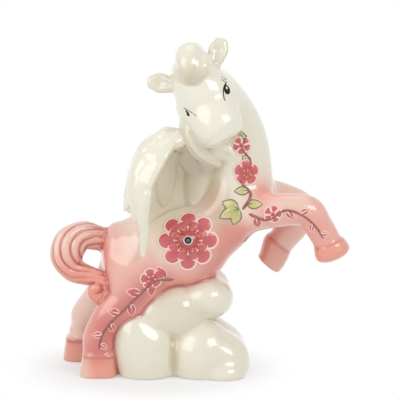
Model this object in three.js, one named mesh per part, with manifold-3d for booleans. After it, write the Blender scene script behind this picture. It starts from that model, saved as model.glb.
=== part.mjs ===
// Rearing winged horse in glazed porcelain, seated against a bank of clouds, with a crystal on its flank.
// Millimetres, +Z up. The horse faces +X, its right side faces -Y, and the figure stands on Z = 0.
// Each piece is one casting that is luted to its neighbours. The crystal and its cup are glued in.

import * as THREE from "three";
import { mergeVertices } from "three/addons/utils/BufferGeometryUtils.js";
import Module from "manifold-3d";

// Driving dimensions
const JOINT_GAP = 0.3; // slip layer between two luted castings
const RUMP_X = -41;
const HIP_HEIGHT = 61; // torso axis above the ground at the rump
const BODY_RUN = 60; // rump to chest, along the ground
const CHEST_RISE = 23; // chest above the rump
const BARREL_HALF_WIDTH = 21;
const BARREL_HALF_DEPTH = 20.5;
const NECK_RISE = 69; // chest to poll
const NECK_BASE_RADIUS = 15;
const HEAD_HALF_WIDTH = 14; // across the eyes
const MUZZLE_HALF_WIDTH = 12.6;
const EAR_LENGTH = 13;
const EAR_HALF_WIDTH = 5;
const FORELOCK_RADIUS = 7.2;
const FORELEG_RADIUS = 7.6; // above the knee
const FORE_HOOF_RADIUS = 8.6;
const HIND_CANNON_RADIUS = 7.4;
const HIND_HOOF_RADIUS = 9.1;
const HIND_HOOF_HEIGHT = 11.5;
const TAIL_LOOP_RADIUS = 9.4; // centreline of the loop beside the rump
const TAIL_RADIUS = 8.4; // thickest part
const TAIL_CURL_RADIUS = 4.9;
const WING_THICKNESS = 3;
const WING_ARM_RADIUS = 4.6;
const FEATHER_RISE = 1.5; // ridge of a feather above its row
const LEFT_WING_SPREAD = 8; // the left wing opens wider than the right one, and so stands lower
const LEFT_WING_DROP = 8.5;
const ROSETTE_RADIUS = 14;
const ROSETTE_PETALS = 8;
const ROSETTE_RELIEF = 1.1;
const CRYSTAL_RADIUS = 1.6;
const CUP_WALL = 0.45;
const CUP_HEIGHT = 1.8;
const DRAIN_RADIUS = 4.5; // slip drain under the clouds
const DRAIN_DEPTH = 14;

const RIGHT = -1; // sign of Y on each side of the horse
const LEFT = 1;

const wasm = await Module();
wasm.setup();

const point = (x, y, z) => new THREE.Vector3(x, y, z);
const ACROSS_HORSE = point(0, 1, 0);
const RUMP = point(RUMP_X, 0, HIP_HEIGHT);
const CHEST = point(RUMP_X + BODY_RUN, 0, HIP_HEIGHT + CHEST_RISE);
const POLL = point(CHEST.x - 16.5, -4, CHEST.z + NECK_RISE);

// Shape tools

// Closes a skin over rings of points that turn round the direction of travel. A ring of one point is a tip.
function skin(rings) {
  const positions = [];
  const starts = [];
  for (const ring of rings) {
    starts.push(positions.length / 3);
    for (const p of ring) positions.push(p.x, p.y, p.z);
  }
  const sides = Math.max(...rings.map((ring) => ring.length));
  const at = (i, j) => starts[i] + (rings[i].length === 1 ? 0 : j % sides);
  const faces = [];
  for (let i = 0; i + 1 < rings.length; i++) {
    for (let j = 0; j < sides; j++) {
      if (rings[i].length > 1) faces.push(at(i, j), at(i, j + 1), at(i + 1, j));
      if (rings[i + 1].length > 1) faces.push(at(i, j + 1), at(i + 1, j + 1), at(i + 1, j));
    }
  }
  return new THREE.BufferGeometry()
    .setAttribute("position", new THREE.Float32BufferAttribute(positions, 3))
    .setIndex(faces);
}

// Lofts a round body through stations of [x, y, z, half width along `across`, half depth].
// A cap is the height of the dome on that end, and 0 leaves the end flat. `grow` swells the whole body.
function loft(stations, { sides, steps, across = ACROSS_HORSE, caps = [0, 0], grow = 0, flute }) {
  const spine = new THREE.CatmullRomCurve3(stations.map(([x, y, z]) => point(x, y, z)));
  const sizes = new THREE.CatmullRomCurve3(stations.map(([, , , wide, deep]) => point(wide, deep, 0)));
  const domeSteps = 3;
  const ring = (t, slide, scale) => {
    const travel = spine.getTangent(t);
    const side = across.clone().addScaledVector(travel, -across.dot(travel)).normalize();
    const depth = travel.clone().cross(side);
    const centre = spine.getPoint(t).addScaledVector(travel, slide);
    if (scale === 0) return [centre];
    const size = sizes.getPoint(t);
    return Array.from({ length: sides }, (_, j) => {
      const angle = (2 * Math.PI * j) / sides;
      const swell = scale * (flute ? flute(angle, t) : 1);
      return centre
        .clone()
        .addScaledVector(side, (size.x + grow) * swell * Math.cos(angle))
        .addScaledVector(depth, (size.y + grow) * swell * Math.sin(angle));
    });
  };
  const dome = (t, cap, sign) => {
    if (cap === 0) return [ring(t, sign * grow, 0), ring(t, sign * grow, 1)];
    return Array.from({ length: domeSteps }, (_, k) => {
      const angle = ((1 - k / domeSteps) * Math.PI) / 2;
      return ring(t, sign * (cap + grow) * Math.sin(angle), k === 0 ? 0 : Math.cos(angle));
    });
  };
  const middle = Array.from({ length: steps + 1 }, (_, i) => ring(i / steps, 0, 1));
  const body = middle.slice(caps[0] === 0 ? 1 : 0, caps[1] === 0 ? -1 : undefined);
  return skin([...dome(0, caps[0], -1), ...body, ...dome(1, caps[1], 1).reverse()]);
}

function ball([x, y, z], [rx, ry, rz], grow = 0, sides = 12) {
  return new THREE.SphereGeometry(1, sides, Math.round(sides * 0.55))
    .rotateX(Math.PI / 2)
    .scale(rx + grow, ry + grow, rz + grow)
    .translate(x, y, z);
}

function solid(geometry) {
  const position = geometry.getAttribute("position").clone();
  const bare = new THREE.BufferGeometry().setAttribute("position", position).setIndex(geometry.index);
  const merged = mergeVertices(bare, 1e-4);
  return new wasm.Manifold(
    new wasm.Mesh({
      numProp: 3,
      vertProperties: merged.attributes.position.array,
      triVerts: new Uint32Array(merged.index.array),
    }),
  );
}

const join = (solids) => solids.reduce((sum, next) => sum.add(next));
const cut = (body, ...cutters) => cutters.reduce((rest, cutter) => rest.subtract(cutter), body);

// The main body of a casting, without the crumbs that a cut can leave beside it.
function mainBody(cast) {
  return cast.decompose().reduce((best, next) => (next.volume() > best.volume() ? next : best));
}

// Torso: a loft from the rump to the chest, along an axis that sags below the back, and the swell of the belly

function torso(grow = 0) {
  const rows = [
    [0, 0, 14.5, 14],
    [0.18, 0, 20, 18.5],
    [0.5, 0.16, BARREL_HALF_WIDTH, BARREL_HALF_DEPTH],
    [0.78, 0.53, BARREL_HALF_WIDTH - 2, BARREL_HALF_DEPTH - 3.5],
    [1, 1, BARREL_HALF_WIDTH - 5, BARREL_HALF_DEPTH - 5.5],
  ];
  const stations = rows.map(([run, rise, wide, deep]) => {
    return [RUMP.x + run * BODY_RUN, 0, RUMP.z + rise * CHEST_RISE, wide, deep];
  });
  const barrel = solid(loft(stations, { sides: 22, steps: 10, caps: [8, 11], grow }));
  const belly = ball([RUMP.x + 0.6 * BODY_RUN, -3, RUMP.z - 0.5], [17, BARREL_HALF_WIDTH - 4, 16], grow);
  return barrel.add(solid(belly));
}

// Neck: rises from inside the chest and leans back to the poll

function neck(grow = 0) {
  const rows = [
    [0, 0, 0.04, 16, NECK_BASE_RADIUS + 3],
    [0.5, 0, 0.2, NECK_BASE_RADIUS, NECK_BASE_RADIUS + 1.5],
    [0.6, -1, 0.47, 12.5, 13.6],
    [-4.6, -2, 0.7, 11.3, 11.6],
    [-13.6, -3, 0.88, 10, 9.6],
    [POLL.x - CHEST.x - 2, POLL.y, 0.96, 9, 8],
  ];
  const stations = rows.map(([x, y, rise, wide, deep]) => {
    return [CHEST.x + x, y, CHEST.z + rise * NECK_RISE, wide, deep];
  });
  return solid(loft(stations, { sides: 16, steps: 9, caps: [8, 7], grow }));
}

// Head, ears and forelock share a frame: X across the eyes, Y out of the forehead, Z from the poll to the
// muzzle. The head is turned to the horse's right and tilted.

const NOSE_DIRECTION = point(0.515, -0.283, -0.808).normalize();
const BROW_DIRECTION = point(-0.115, -0.958, 0.263);
const HEAD_CENTRE = point(POLL.x + 1.2, POLL.y - 11, POLL.z - 12.5);
const EYE_LINE = BROW_DIRECTION.clone().cross(NOSE_DIRECTION).normalize();
const HEAD_FRAME = new THREE.Matrix4()
  .makeBasis(EYE_LINE, NOSE_DIRECTION.clone().cross(EYE_LINE).normalize(), NOSE_DIRECTION)
  .setPosition(HEAD_CENTRE);
const ACROSS_HEAD = point(1, 0, 0);

const onHead = (geometry) => solid(geometry.applyMatrix4(HEAD_FRAME));

function head(grow = 0) {
  const stations = [
    [0, -2, -18, HEAD_HALF_WIDTH - 4.5, 9.5],
    [0, 0, -11, HEAD_HALF_WIDTH - 1.2, 12],
    [0, 0.2, -4, HEAD_HALF_WIDTH, 12],
    [-0.5, 0.1, 2.5, HEAD_HALF_WIDTH - 0.8, 11.2],
    [-1.2, 1, 7.5, MUZZLE_HALF_WIDTH, 11],
    [-1.8, 1.7, 12, MUZZLE_HALF_WIDTH, 11.3],
    [-2.2, 2.1, 16.5, MUZZLE_HALF_WIDTH - 0.2, 10.9],
    [-2.2, 2.1, 20, MUZZLE_HALF_WIDTH - 2, 8.2],
  ];
  const skull = onHead(loft(stations, { sides: 16, steps: 11, across: ACROSS_HEAD, caps: [6, 3.5], grow }));
  const cheeks = [-1, 1].map((side) => {
    return onHead(ball([side * (HEAD_HALF_WIDTH - 7) - 1.5, -5, 2], [7.6, 8.5, 9.5], grow, 10));
  });
  return join([skull, ...cheeks]);
}

const EAR_ROOTS = {
  [RIGHT]: point(HEAD_HALF_WIDTH - 3.7, 1, -14.7),
  [LEFT]: point(HEAD_HALF_WIDTH - 2.4, 1, -13.2),
};
const EAR_DIRECTION = point(0.77, -0.07, -0.63).normalize();

function ear(side, grow = 0) {
  const along = (share, wide, deep) => {
    const p = EAR_ROOTS[side].clone().addScaledVector(EAR_DIRECTION, share * EAR_LENGTH);
    return [side * p.x, p.y, p.z, wide, deep];
  };
  const across = point(side * EAR_DIRECTION.z, 0, -EAR_DIRECTION.x);
  const blade = [
    along(-0.15, 3, 2.7),
    along(0.25, EAR_HALF_WIDTH - 0.5, 2.7),
    along(0.6, EAR_HALF_WIDTH, 2.4),
    along(0.9, EAR_HALF_WIDTH - 1.5, 1.8),
  ];
  const hollow = [along(0.25, 0.9, 1), along(0.58, EAR_HALF_WIDTH - 2, 1.7), along(0.86, 1.3, 0.8)];
  const scoop = loft(hollow, { sides: 8, steps: 3, across, caps: [2, 1.5] }).translate(0, 2.7, 0);
  const leaf = onHead(loft(blade, { sides: 10, steps: 4, across, caps: [1, 2], grow }));
  return grow > 0 ? leaf : cut(leaf, onHead(scoop));
}

// The forelock is a big roll of hair over the poll, with a lobe on both sides of it.
function forelock(grow = 0) {
  const r = FORELOCK_RADIUS;
  const roll = [
    [3.6, -5, -16, r - 1.2, r - 1.2],
    [4.4, 2, -21, r, r - 0.2],
    [3.9, 8, -21.9, r, r - 0.4],
    [2, 12.5, -18.5, r - 1, r - 1.8],
    [0, 13.6, -14, r - 3, r - 3.4],
    [-0.6, 13, -11.4, r - 4.7, r - 5],
  ];
  const browLobe = [
    [-1, -4, -14, r - 2.2, r - 2.2],
    [-2, 2, -18.4, r - 1.6, r - 1.6],
    [-2.4, 8, -16.8, r - 2.2, r - 2.6],
    [-1.8, 11.4, -12.6, r - 4.2, r - 4.4],
  ];
  const sideLobe = [
    [8.2, 2, -15.4, r - 3.2, r - 3.2],
    [8.2, 8, -16, r - 2.3, r - 2.5],
    [6.6, 12, -13.8, r - 2.8, r - 3.2],
    [3.2, 13.2, -11.4, r - 4.2, r - 4.4],
  ];
  const lobe = (rows, sides, steps) => {
    return onHead(loft(rows, { sides, steps, across: ACROSS_HEAD, caps: [4, 2], grow }));
  };
  return join([lobe(roll, 10, 7), lobe(browLobe, 8, 4), lobe(sideLobe, 8, 4)]);
}

// Mane: locks that leave the crest behind the head and curl forward over both sides of the neck

function mane(grow = 0) {
  const locks = [
    [[-20, -6, 0.86, 4], [-23.5, -9, 0.68, 5], [-23, -17.5, 0.565, 5.2], [-19.5, -19, 0.46, 4.8]],
    [[-20, -12, 0.62, 4.6], [-16, -14.5, 0.5, 4.2], [-11.5, -13.5, 0.43, 3], [-7, -12.5, 0.38, 1.6]],
    [[-17, -2, 0.82, 4], [-22, -3, 0.6, 5.4], [-21, -6, 0.46, 4.6]],
    [[-16, 3, 0.86, 4], [-21.5, 3, 0.66, 5.6], [-24, 4, 0.45, 5.8], [-19, 4, 0.26, 2.6]],
    [[-15, 6, 0.88, 4], [-19.5, 9, 0.7, 5.8], [-20, 12, 0.52, 5.8], [-12, 13.5, 0.36, 2.4]],
    [[-14, 7, 0.93, 3.5], [-15, 10.5, 0.79, 5.4], [-11, 12.5, 0.65, 4.6], [-4, 13, 0.54, 2.2]],
  ];
  locks[0].push([-14.5, -16.5, 0.385, 3.6], [-10, -14, 0.34, 2]); // the lock under the chin is the longest
  const place = ([x, y, rise, size]) => [CHEST.x + x, y, CHEST.z + rise * NECK_RISE, size, size];
  return join(
    locks.map((rows) => solid(loft(rows.map(place), { sides: 6, steps: 4, caps: [2.5, 2], grow }))),
  );
}

// Legs: a loft for the limb and a flared hoof on its end

function limb(rows, hoof, grow, sole = 0) {
  const shank = solid(loft(rows, { sides: 12, steps: 10, caps: [6, 2], grow }));
  const foot = solid(loft(hoof, { sides: 12, steps: 2, caps: [0, sole], grow }));
  return shank.add(foot);
}

function hindLeg(side, grow = 0) {
  const cannon = HIND_CANNON_RADIUS;
  const planted = [
    [11, -10, 0.83, 10, 15],
    [5, -11, 0.53, 9.5, 11.6],
    [-3, -12, 0.39, 8.4, cannon + 1.2],
    [-7.5, -12, 0.26, cannon, cannon - 0.1],
    [-9.2, -11.5, 0.12, cannon + 0.2, cannon + 0.5],
    [-8.8, -11, -0.05, cannon - 0.3, cannon],
  ];
  const setBack = [
    [7, 10, 0.83, 10, 15],
    [-2, 13.5, 0.58, 9, 11],
    [-10.5, 18, 0.38, 8, cannon + 1],
    [-16, 21.5, 0.22, cannon, cannon + 0.3],
    [-17.2, 23, 0.12, cannon - 1.2, cannon - 1.1],
    [-17.6, 23.5, 0.06, cannon - 0.5, cannon - 0.5],
    [-17.8, 24, -0.05, cannon - 0.9, cannon - 0.9],
  ];
  const rows = side === RIGHT ? planted : setBack;
  const rise = HIP_HEIGHT - HIND_HOOF_HEIGHT;
  const stations = rows.map(([x, y, share, wide, deep]) => {
    return [RUMP.x + x, y, HIND_HOOF_HEIGHT + share * rise, wide, deep];
  });
  const [footX, footY] = stations[stations.length - 1];
  const hoof = [
    [footX, footY, HIND_HOOF_HEIGHT, HIND_HOOF_RADIUS - 1.2, HIND_HOOF_RADIUS - 0.9],
    [footX - 0.8, footY, 0, HIND_HOOF_RADIUS - 0.4, HIND_HOOF_RADIUS],
  ];
  return limb(stations, hoof, grow);
}

// Each foreleg leaves the chest forward and bends down at the knee. The left one folds back under itself.
function foreLeg(side, grow = 0) {
  const r = FORELEG_RADIUS;
  const raised = [
    [5, -11, -1, r + 1.2, r + 1.4],
    [17, -13.5, 0, r + 0.4, r + 0.6],
    [27, -15, 1, r - 0.2, r],
    [34.5, -15.5, 0, r - 0.5, r - 0.1],
    [39.5, -15.5, -7, r - 1, r - 0.8],
    [44, -15.5, -15, r - 1.2, r - 1],
    [45, -15.5, -18, r - 1.4, r - 1.2],
  ];
  const folded = [
    [9, 11, 3, r + 1, r + 1.4],
    [22, 14, 0.5, r - 0.3, r - 0.2],
    [31.5, 15, -5, r - 0.5, r - 0.4],
    [29.5, 15, -12, r - 1, r - 0.8],
    [24, 15, -18.5, r - 1.2, r - 0.8],
    [18.7, 15, -25, r - 1.4, r - 1.2],
  ];
  const rows = side === RIGHT ? raised : folded;
  const hoofOf = ([x, y, z, flare]) => [x, y, z, FORE_HOOF_RADIUS + flare - 0.4, FORE_HOOF_RADIUS + flare];
  const raisedHoof = [
    [44.3, -15.5, -16, -0.8],
    [46.5, -15.5, -20.2, 0.4],
  ];
  const foldedHoof = [
    [19.6, 15, -23, -2.2],
    [18, 15, -28.6, -1.6],
    [14.5, 15, -31.8, -1.4],
  ];
  const hoof = (side === RIGHT ? raisedHoof : foldedHoof).map(hoofOf);
  const place = ([x, y, z, ...sizes]) => [CHEST.x + x, y, CHEST.z + z, ...sizes];
  return limb(rows.map(place), hoof.map(place), grow, side === RIGHT ? 3.4 : 0);
}

// Tail: a fluted switch of hair that loops out from the rump, comes back to the leg and ends in a curl

function tail(grow = 0) {
  const loop = [RUMP.x - 15.6, RUMP.z - 1.6];
  const curl = [RUMP.x - 9.6, RUMP.z - 18];
  const onArc = ([x, z], radius, degrees, y, size) => {
    const angle = THREE.MathUtils.degToRad(degrees);
    return [x + radius * Math.cos(angle), y, z + radius * Math.sin(angle), size, size];
  };
  const stations = [[RUMP.x + 1, 0, RUMP.z + 3, 5, 5]];
  const thinner = [2.2, 1.3, 0, 0.3, 2.1, 3.3]; // than the thickest part, from the root to the curl
  thinner.forEach((less, k) => {
    const share = k / (thinner.length - 1);
    stations.push(onArc(loop, TAIL_LOOP_RADIUS, 62 + 205 * share, -6 * share, TAIL_RADIUS - less));
  });
  const curlTurns = 6;
  for (let k = 0; k <= curlTurns; k++) {
    const share = k / curlTurns;
    const radius = TAIL_CURL_RADIUS * (1 - 0.6 * share);
    const size = TAIL_RADIUS / 2 - 1.8 * share;
    stations.push(onArc(curl, radius, 80 - 330 * share, -8.5 - 5 * share, size));
  }
  const locks = 5;
  const twist = 2.4;
  const flute = (angle, t) => 1 + 0.075 * Math.cos(locks * angle + twist * 2 * Math.PI * t);
  return solid(loft(stations, { sides: 15, steps: 21, caps: [3, 2], grow, flute }));
}

// Wings: a cupped web, an arm along its top and three rows of overlapping feathers.
// The ribs run from the arm down to the feather tips, from the neck round the cup to the front edge.

const WING_RIBS = [
  [[-13, -5, 25], [-12, -6, 18], [-12, -7, 9], [-14, -9, -2]],
  [[-26, -6, 34], [-28, -4, 26], [-29, -4, 11], [-31, -8, -9]],
  [[-35.4, -11, 38.5], [-46.3, -12, 31], [-52, -14, 16], [-57, -16, 0]],
  [[-37.4, -17, 37.5], [-46.3, -23, 29], [-51.6, -27, 16], [-53.5, -25, 0.5]],
  [[-29.6, -18.4, 35.7], [-36, -27, 27], [-44, -31, 11], [-47.6, -24, -21.5]],
];
const WING_CROWN = [[-25, -5, 34], [-28, -11, 36], [-31, -16, 36]]; // closes the top of the cup
// The longest feather is a blade along the front edge, of x, y, z, half width and half depth.
const WING_BLADE = [
  [-44.5, -30.6, 12, 2, 2],
  [-47, -29.6, 2, 3.3, 2.3],
  [-46.4, -27.6, -8, 2.7, 2],
  [-47.2, -24, -20, 1.4, 1.4],
];
const WING_TOP = 38.5;
const WING_FOOT = -21.5;

function wingPlace(side, [x, y, z]) {
  const height = (z - WING_FOOT) / (WING_TOP - WING_FOOT);
  const spread = side === LEFT ? LEFT_WING_SPREAD * height : 0;
  const drop = side === LEFT ? LEFT_WING_DROP * height : 0;
  return point(CHEST.x + x, side * (spread - y), CHEST.z + z - drop);
}

// Point and outward normal of the cup, u round it and v down it.
function wingSurface(side) {
  const ribs = WING_RIBS.map((rib) => new THREE.CatmullRomCurve3(rib.map((p) => wingPlace(side, p))));
  const at = (u, v) => new THREE.CatmullRomCurve3(ribs.map((rib) => rib.getPoint(v))).getPoint(u);
  const clamp = THREE.MathUtils.clamp;
  return (round, down) => {
    const nearby = 0.02;
    const [u, v] = [clamp(round, 0, 1), clamp(down, 0, 1)];
    const [u0, u1] = [clamp(u - nearby, 0, 1), clamp(u + nearby, 0, 1)];
    const [v0, v1] = [clamp(v - nearby, 0, 1), clamp(v + nearby, 0, 1)];
    const acrossCup = at(u1, v).sub(at(u0, v)).divideScalar(u1 - u0);
    const downCup = at(u, v1).sub(at(u, v0));
    const normal = downCup.cross(acrossCup).normalize().multiplyScalar(-side);
    return { at: at(u, v), normal, stretch: acrossCup.length() };
  };
}

function wingWeb(side, surface) {
  const columns = 9;
  const rows = 4;
  const lowest = (u) => 1 - 0.12 * THREE.MathUtils.smoothstep(u, 0.35, 0.6); // the root runs into the back
  const faceAt = (offset) => {
    return Array.from({ length: rows + 1 }, (_, i) => {
      return Array.from({ length: columns + 1 }, (_, j) => {
        const u = j / columns;
        const { at, normal } = surface(u, (lowest(u) * i) / rows);
        return at.addScaledVector(normal, offset);
      });
    });
  };
  const outer = faceAt(WING_THICKNESS / 2);
  const inner = faceAt(-WING_THICKNESS / 2);
  const rings = outer.map((row, i) => {
    const face = side === RIGHT ? [...row].reverse() : row;
    const back = side === RIGHT ? inner[i] : [...inner[i]].reverse();
    return [...face, ...back];
  });
  return slab(rings);
}

// A thick sheet: each ring goes out along one face and back along the other, and the ends are stitched shut.
function slab(rings) {
  const open = skin(rings);
  const width = rings[0].length;
  const half = width / 2;
  const faces = [...open.index.array];
  const last = (rings.length - 1) * width;
  for (let j = 0; j + 1 < half; j++) {
    const [a, b] = [j, j + 1];
    const [c, d] = [width - 1 - j, width - 2 - j];
    faces.push(a, c, b, b, c, d);
    faces.push(last + a, last + b, last + c, last + b, last + d, last + c);
  }
  return solid(open.setIndex(faces));
}

function feather(side, surface, { u, from, to, halfWidth, lift }) {
  const stations = 5;
  const rings = Array.from({ length: stations + 1 }, (_, i) => {
    const share = i / stations;
    const v = from + (to - from) * share;
    const { at, normal, stretch } = surface(u, Math.min(v, 1));
    const overrun = Math.max(0, v - 1);
    const centre = at.clone().addScaledVector(normal, lift);
    centre.z -= overrun * 60;
    if (i === 0 || i === stations) return [centre];
    const roundedTip = share > 0.55 ? Math.sqrt(1 - ((share - 0.55) / 0.45) ** 2) : 0.6 + 0.73 * share;
    const reach = (halfWidth * roundedTip) / stretch;
    const edge = (sign, raise) => {
      const near = surface(u + sign * reach, Math.min(v, 1));
      const p = near.at.addScaledVector(near.normal, lift + raise);
      p.z -= overrun * 60;
      return p;
    };
    const ridge = (height) => centre.clone().addScaledVector(normal, height);
    const thin = 0.35 + 0.65 * roundedTip;
    return [edge(-side, 0.5), ridge(FEATHER_RISE * thin), edge(side, -0.3), ridge(-FEATHER_RISE * thin)];
  });
  return solid(skin(rings));
}

function wing(side) {
  const surface = wingSurface(side);
  const armRows = WING_RIBS.map((rib, i) => {
    const p = wingPlace(side, rib[0]);
    const size = WING_ARM_RADIUS - 0.5 * i;
    return [p.x, p.y, p.z, size, size];
  });
  const across = point(0, 0.3, 1).normalize();
  const arm = solid(loft(armRows, { sides: 8, steps: 8, caps: [2, 1.5], across }));
  const crownRows = WING_CROWN.map((place) => {
    const p = wingPlace(side, place);
    return [p.x, p.y, p.z, WING_ARM_RADIUS - 0.6, WING_ARM_RADIUS + 1.4];
  });
  const crown = solid(loft(crownRows, { sides: 8, steps: 3, caps: [3, 2], across }));
  const bladeRows = WING_BLADE.map(([x, y, z, wide, deep]) => {
    const p = wingPlace(side, [x, y, z]);
    return [p.x, p.y, p.z, wide, deep];
  });
  const blade = solid(loft(bladeRows, { sides: 6, steps: 4, caps: [2, 1.5], across: point(1, 0, 0) }));
  const rows = [
    { count: 5, first: 0.1, last: 0.8, from: 0.2, to: 1.0, halfWidth: 7.6, lift: 0 },
    { count: 4, first: 0.2, last: 0.94, from: 0.1, to: 0.62, halfWidth: 7.8, lift: 0.7 },
    { count: 3, first: 0.3, last: 0.9, from: 0.03, to: 0.36, halfWidth: 7.8, lift: 1.3 },
  ];
  const feathers = rows.flatMap(({ count, first, last, ...shape }) => {
    return Array.from({ length: count }, (_, k) => {
      const u = first + ((last - first) * k) / (count - 1);
      return feather(side, surface, { u, ...shape });
    });
  });
  return join([wingWeb(side, surface), arm, crown, blade, ...feathers]);
}

// Clouds: the lower bank stands on the ground, and the cushion above it carries the belly

const BELLY = RUMP.z - 17; // underside of the barrel

function lowerPuffs(grow = 0) {
  const puffs = [
    [[14, -10, 10.5], [15.5, 14.5], 12.5],
    [[11, 12, 10], [15, 15], 15.5],
    [[42.5, -10, 9], [16, 14.5], 16],
    [[42, 11, 9], [16, 15], 17],
    [[55, -10, 6], [10.8, 12], 25.5],
    [[53, 5, 8.5], [11, 14], 22.5],
    [[28, 0, 12], [18, 14], 15],
  ];
  return join(
    puffs.map(([[x, y, z], [rx, ry], topBelowBelly]) => {
      return solid(ball([RUMP.x + x, y, z], [rx, ry, BELLY - topBelowBelly - z], grow));
    }),
  );
}

function cushionPuffs() {
  const puffs = [
    [[30, -6, -12], [16, 15, 14.5]],
    [[45.5, -6, -4.3], [12, 13, 10]],
    [[28, 8, -10], [16, 14, 15]],
    [[44, 8, -5], [12, 12, 12.5]],
  ];
  return join(puffs.map(([[x, y, z], radii]) => solid(ball([RUMP.x + x, y, BELLY + z], radii))));
}

// A block that reaches from `top` down past the ground, as wide as the figure.
function blockBelow(top) {
  const height = 80;
  return solid(new THREE.BoxGeometry(300, 300, height).translate(0, 0, top - height / 2));
}

function drain() {
  const bore = new THREE.CylinderGeometry(DRAIN_RADIUS, DRAIN_RADIUS, 2 * DRAIN_DEPTH, 16);
  return solid(bore.rotateX(Math.PI / 2).translate(RUMP.x + 29, 0, 0));
}

// Flank ornament: a low rosette that follows the barrel, with a cup and a crystal at its centre

const ROSETTE_CENTRE = point(RUMP.x + 35, -BARREL_HALF_WIDTH, RUMP.z + 9.6);
const CRYSTAL_AXIS = point(0.03, -0.97, 0.24).normalize();
const CUP_SEAT = 0.6; // underside of the cup outside the rosette's centre
const CUP_RADIUS = CRYSTAL_RADIUS + JOINT_GAP + CUP_WALL;

// Stands a shape that was built round +Y on the crystal's axis, its origin `outwards` of the barrel's side.
function onCrystalAxis(geometry, outwards) {
  const turn = new THREE.Quaternion().setFromUnitVectors(point(0, 1, 0), CRYSTAL_AXIS);
  const centre = ROSETTE_CENTRE.clone().addScaledVector(CRYSTAL_AXIS, outwards);
  return solid(geometry.applyQuaternion(turn).translate(centre.x, centre.y, centre.z));
}

function rosette() {
  const outline = new THREE.Shape();
  const pointsPerPetal = 4;
  const total = ROSETTE_PETALS * pointsPerPetal;
  for (let k = 0; k < total; k++) {
    const angle = (2 * Math.PI * k) / total;
    const lobe = Math.sqrt(Math.abs(Math.sin((ROSETTE_PETALS * angle) / 2)));
    const radius = ROSETTE_RADIUS * (0.72 + 0.28 * lobe);
    const [x, y] = [radius * Math.cos(angle), radius * Math.sin(angle)];
    if (k === 0) outline.moveTo(x, y);
    else outline.lineTo(x, y);
  }
  outline.closePath();
  const depth = 24;
  const stamp = new THREE.ExtrudeGeometry(outline, { depth, bevelEnabled: false, steps: 1 })
    .rotateX(Math.PI / 2)
    .translate(ROSETTE_CENTRE.x, ROSETTE_CENTRE.y + depth / 2, ROSETTE_CENTRE.z);
  const seat = new THREE.CylinderGeometry(CUP_RADIUS + JOINT_GAP, CUP_RADIUS + JOINT_GAP, 20, 16);
  const raised = solid(stamp).intersect(torso(JOINT_GAP + ROSETTE_RELIEF));
  return cut(raised, torso(JOINT_GAP), onCrystalAxis(seat, 0));
}

function crystalCup() {
  const inner = CRYSTAL_RADIUS + JOINT_GAP;
  const profile = [
    [0, 0],
    [CUP_RADIUS, 0],
    [CUP_RADIUS, CUP_HEIGHT],
    [inner, CUP_HEIGHT],
    [inner, CUP_WALL],
    [0, CUP_WALL],
  ].map(([x, y]) => new THREE.Vector2(x, y));
  return onCrystalAxis(new THREE.LatheGeometry(profile, 16), CUP_SEAT);
}

// Faceted stone: flat base, girdle inside the cup, sloping crown and a flat table.
function crystal() {
  const profile = [
    [0, 0],
    [CRYSTAL_RADIUS * 0.8, 0],
    [CRYSTAL_RADIUS, 0.6],
    [CRYSTAL_RADIUS * 0.6, 1.6],
    [0, 1.6],
  ].map(([x, y]) => new THREE.Vector2(x, y));
  return onCrystalAxis(new THREE.LatheGeometry(profile, 8), CUP_SEAT + CUP_WALL + JOINT_GAP);
}

// Castings, each cut back by the slip layer where it meets a neighbour

const torsoCast = torso();
const torsoRoom = torso(JOINT_GAP);
const neckRoom = neck(JOINT_GAP);
const headRoom = head(JOINT_GAP);
const maneRoom = mane(JOINT_GAP);
const hindRoom = { [RIGHT]: hindLeg(RIGHT, JOINT_GAP), [LEFT]: hindLeg(LEFT, JOINT_GAP) };

const neckCast = mainBody(cut(neck(), torsoRoom));
const headCast = mainBody(cut(head(), neckRoom));
const forelockCast = mainBody(cut(forelock(), headRoom, neckRoom));
const earCast = (side) => mainBody(cut(ear(side), headRoom, neckRoom, forelock(JOINT_GAP)));
const maneCast = mainBody(cut(mane(), neckRoom, headRoom, forelock(JOINT_GAP)));
const foreLegCast = (side) => mainBody(cut(foreLeg(side), torsoRoom, neckRoom));
const hindLegCast = (side) => mainBody(cut(hindLeg(side), torsoRoom, blockBelow(0)));
const wingCast = (side) => {
  return mainBody(cut(wing(side), torsoRoom, neckRoom, headRoom, maneRoom, hindRoom[side]));
};
const tailCast = mainBody(cut(tail(), torsoRoom, hindRoom[RIGHT], hindRoom[LEFT]));
const baseCast = mainBody(
  cut(lowerPuffs(), torsoRoom, hindRoom[RIGHT], hindRoom[LEFT], blockBelow(0), drain()),
);
const cushionCast = mainBody(
  cut(cushionPuffs(), torsoRoom, hindRoom[RIGHT], hindRoom[LEFT], lowerPuffs(JOINT_GAP)),
);

// Finishes

const glaze = (color) => new THREE.MeshStandardMaterial({ color, roughness: 0.12, metalness: 0 });
const IVORY = glaze(0xefebdf);
const PINK = glaze(0xe9a99d);
const ROSE = glaze(0xe8b3a6);
const CLOUD = glaze(0xe6e2d4);
const CRIMSON = glaze(0xc04d5c);
const SILVER = new THREE.MeshStandardMaterial({ color: 0xd5d6d8, roughness: 0.25, metalness: 1 });
const STONE = new THREE.MeshStandardMaterial({ color: 0x2d4038, roughness: 0.03, metalness: 0 });

function piece(name, cast, finish) {
  const { vertProperties, triVerts } = cast.getMesh();
  const geometry = new THREE.BufferGeometry()
    .setAttribute("position", new THREE.BufferAttribute(vertProperties, 3))
    .setIndex(new THREE.BufferAttribute(triVerts, 1));
  geometry.computeVertexNormals();
  const mesh = new THREE.Mesh(geometry, finish);
  mesh.name = name;
  return mesh;
}

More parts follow.
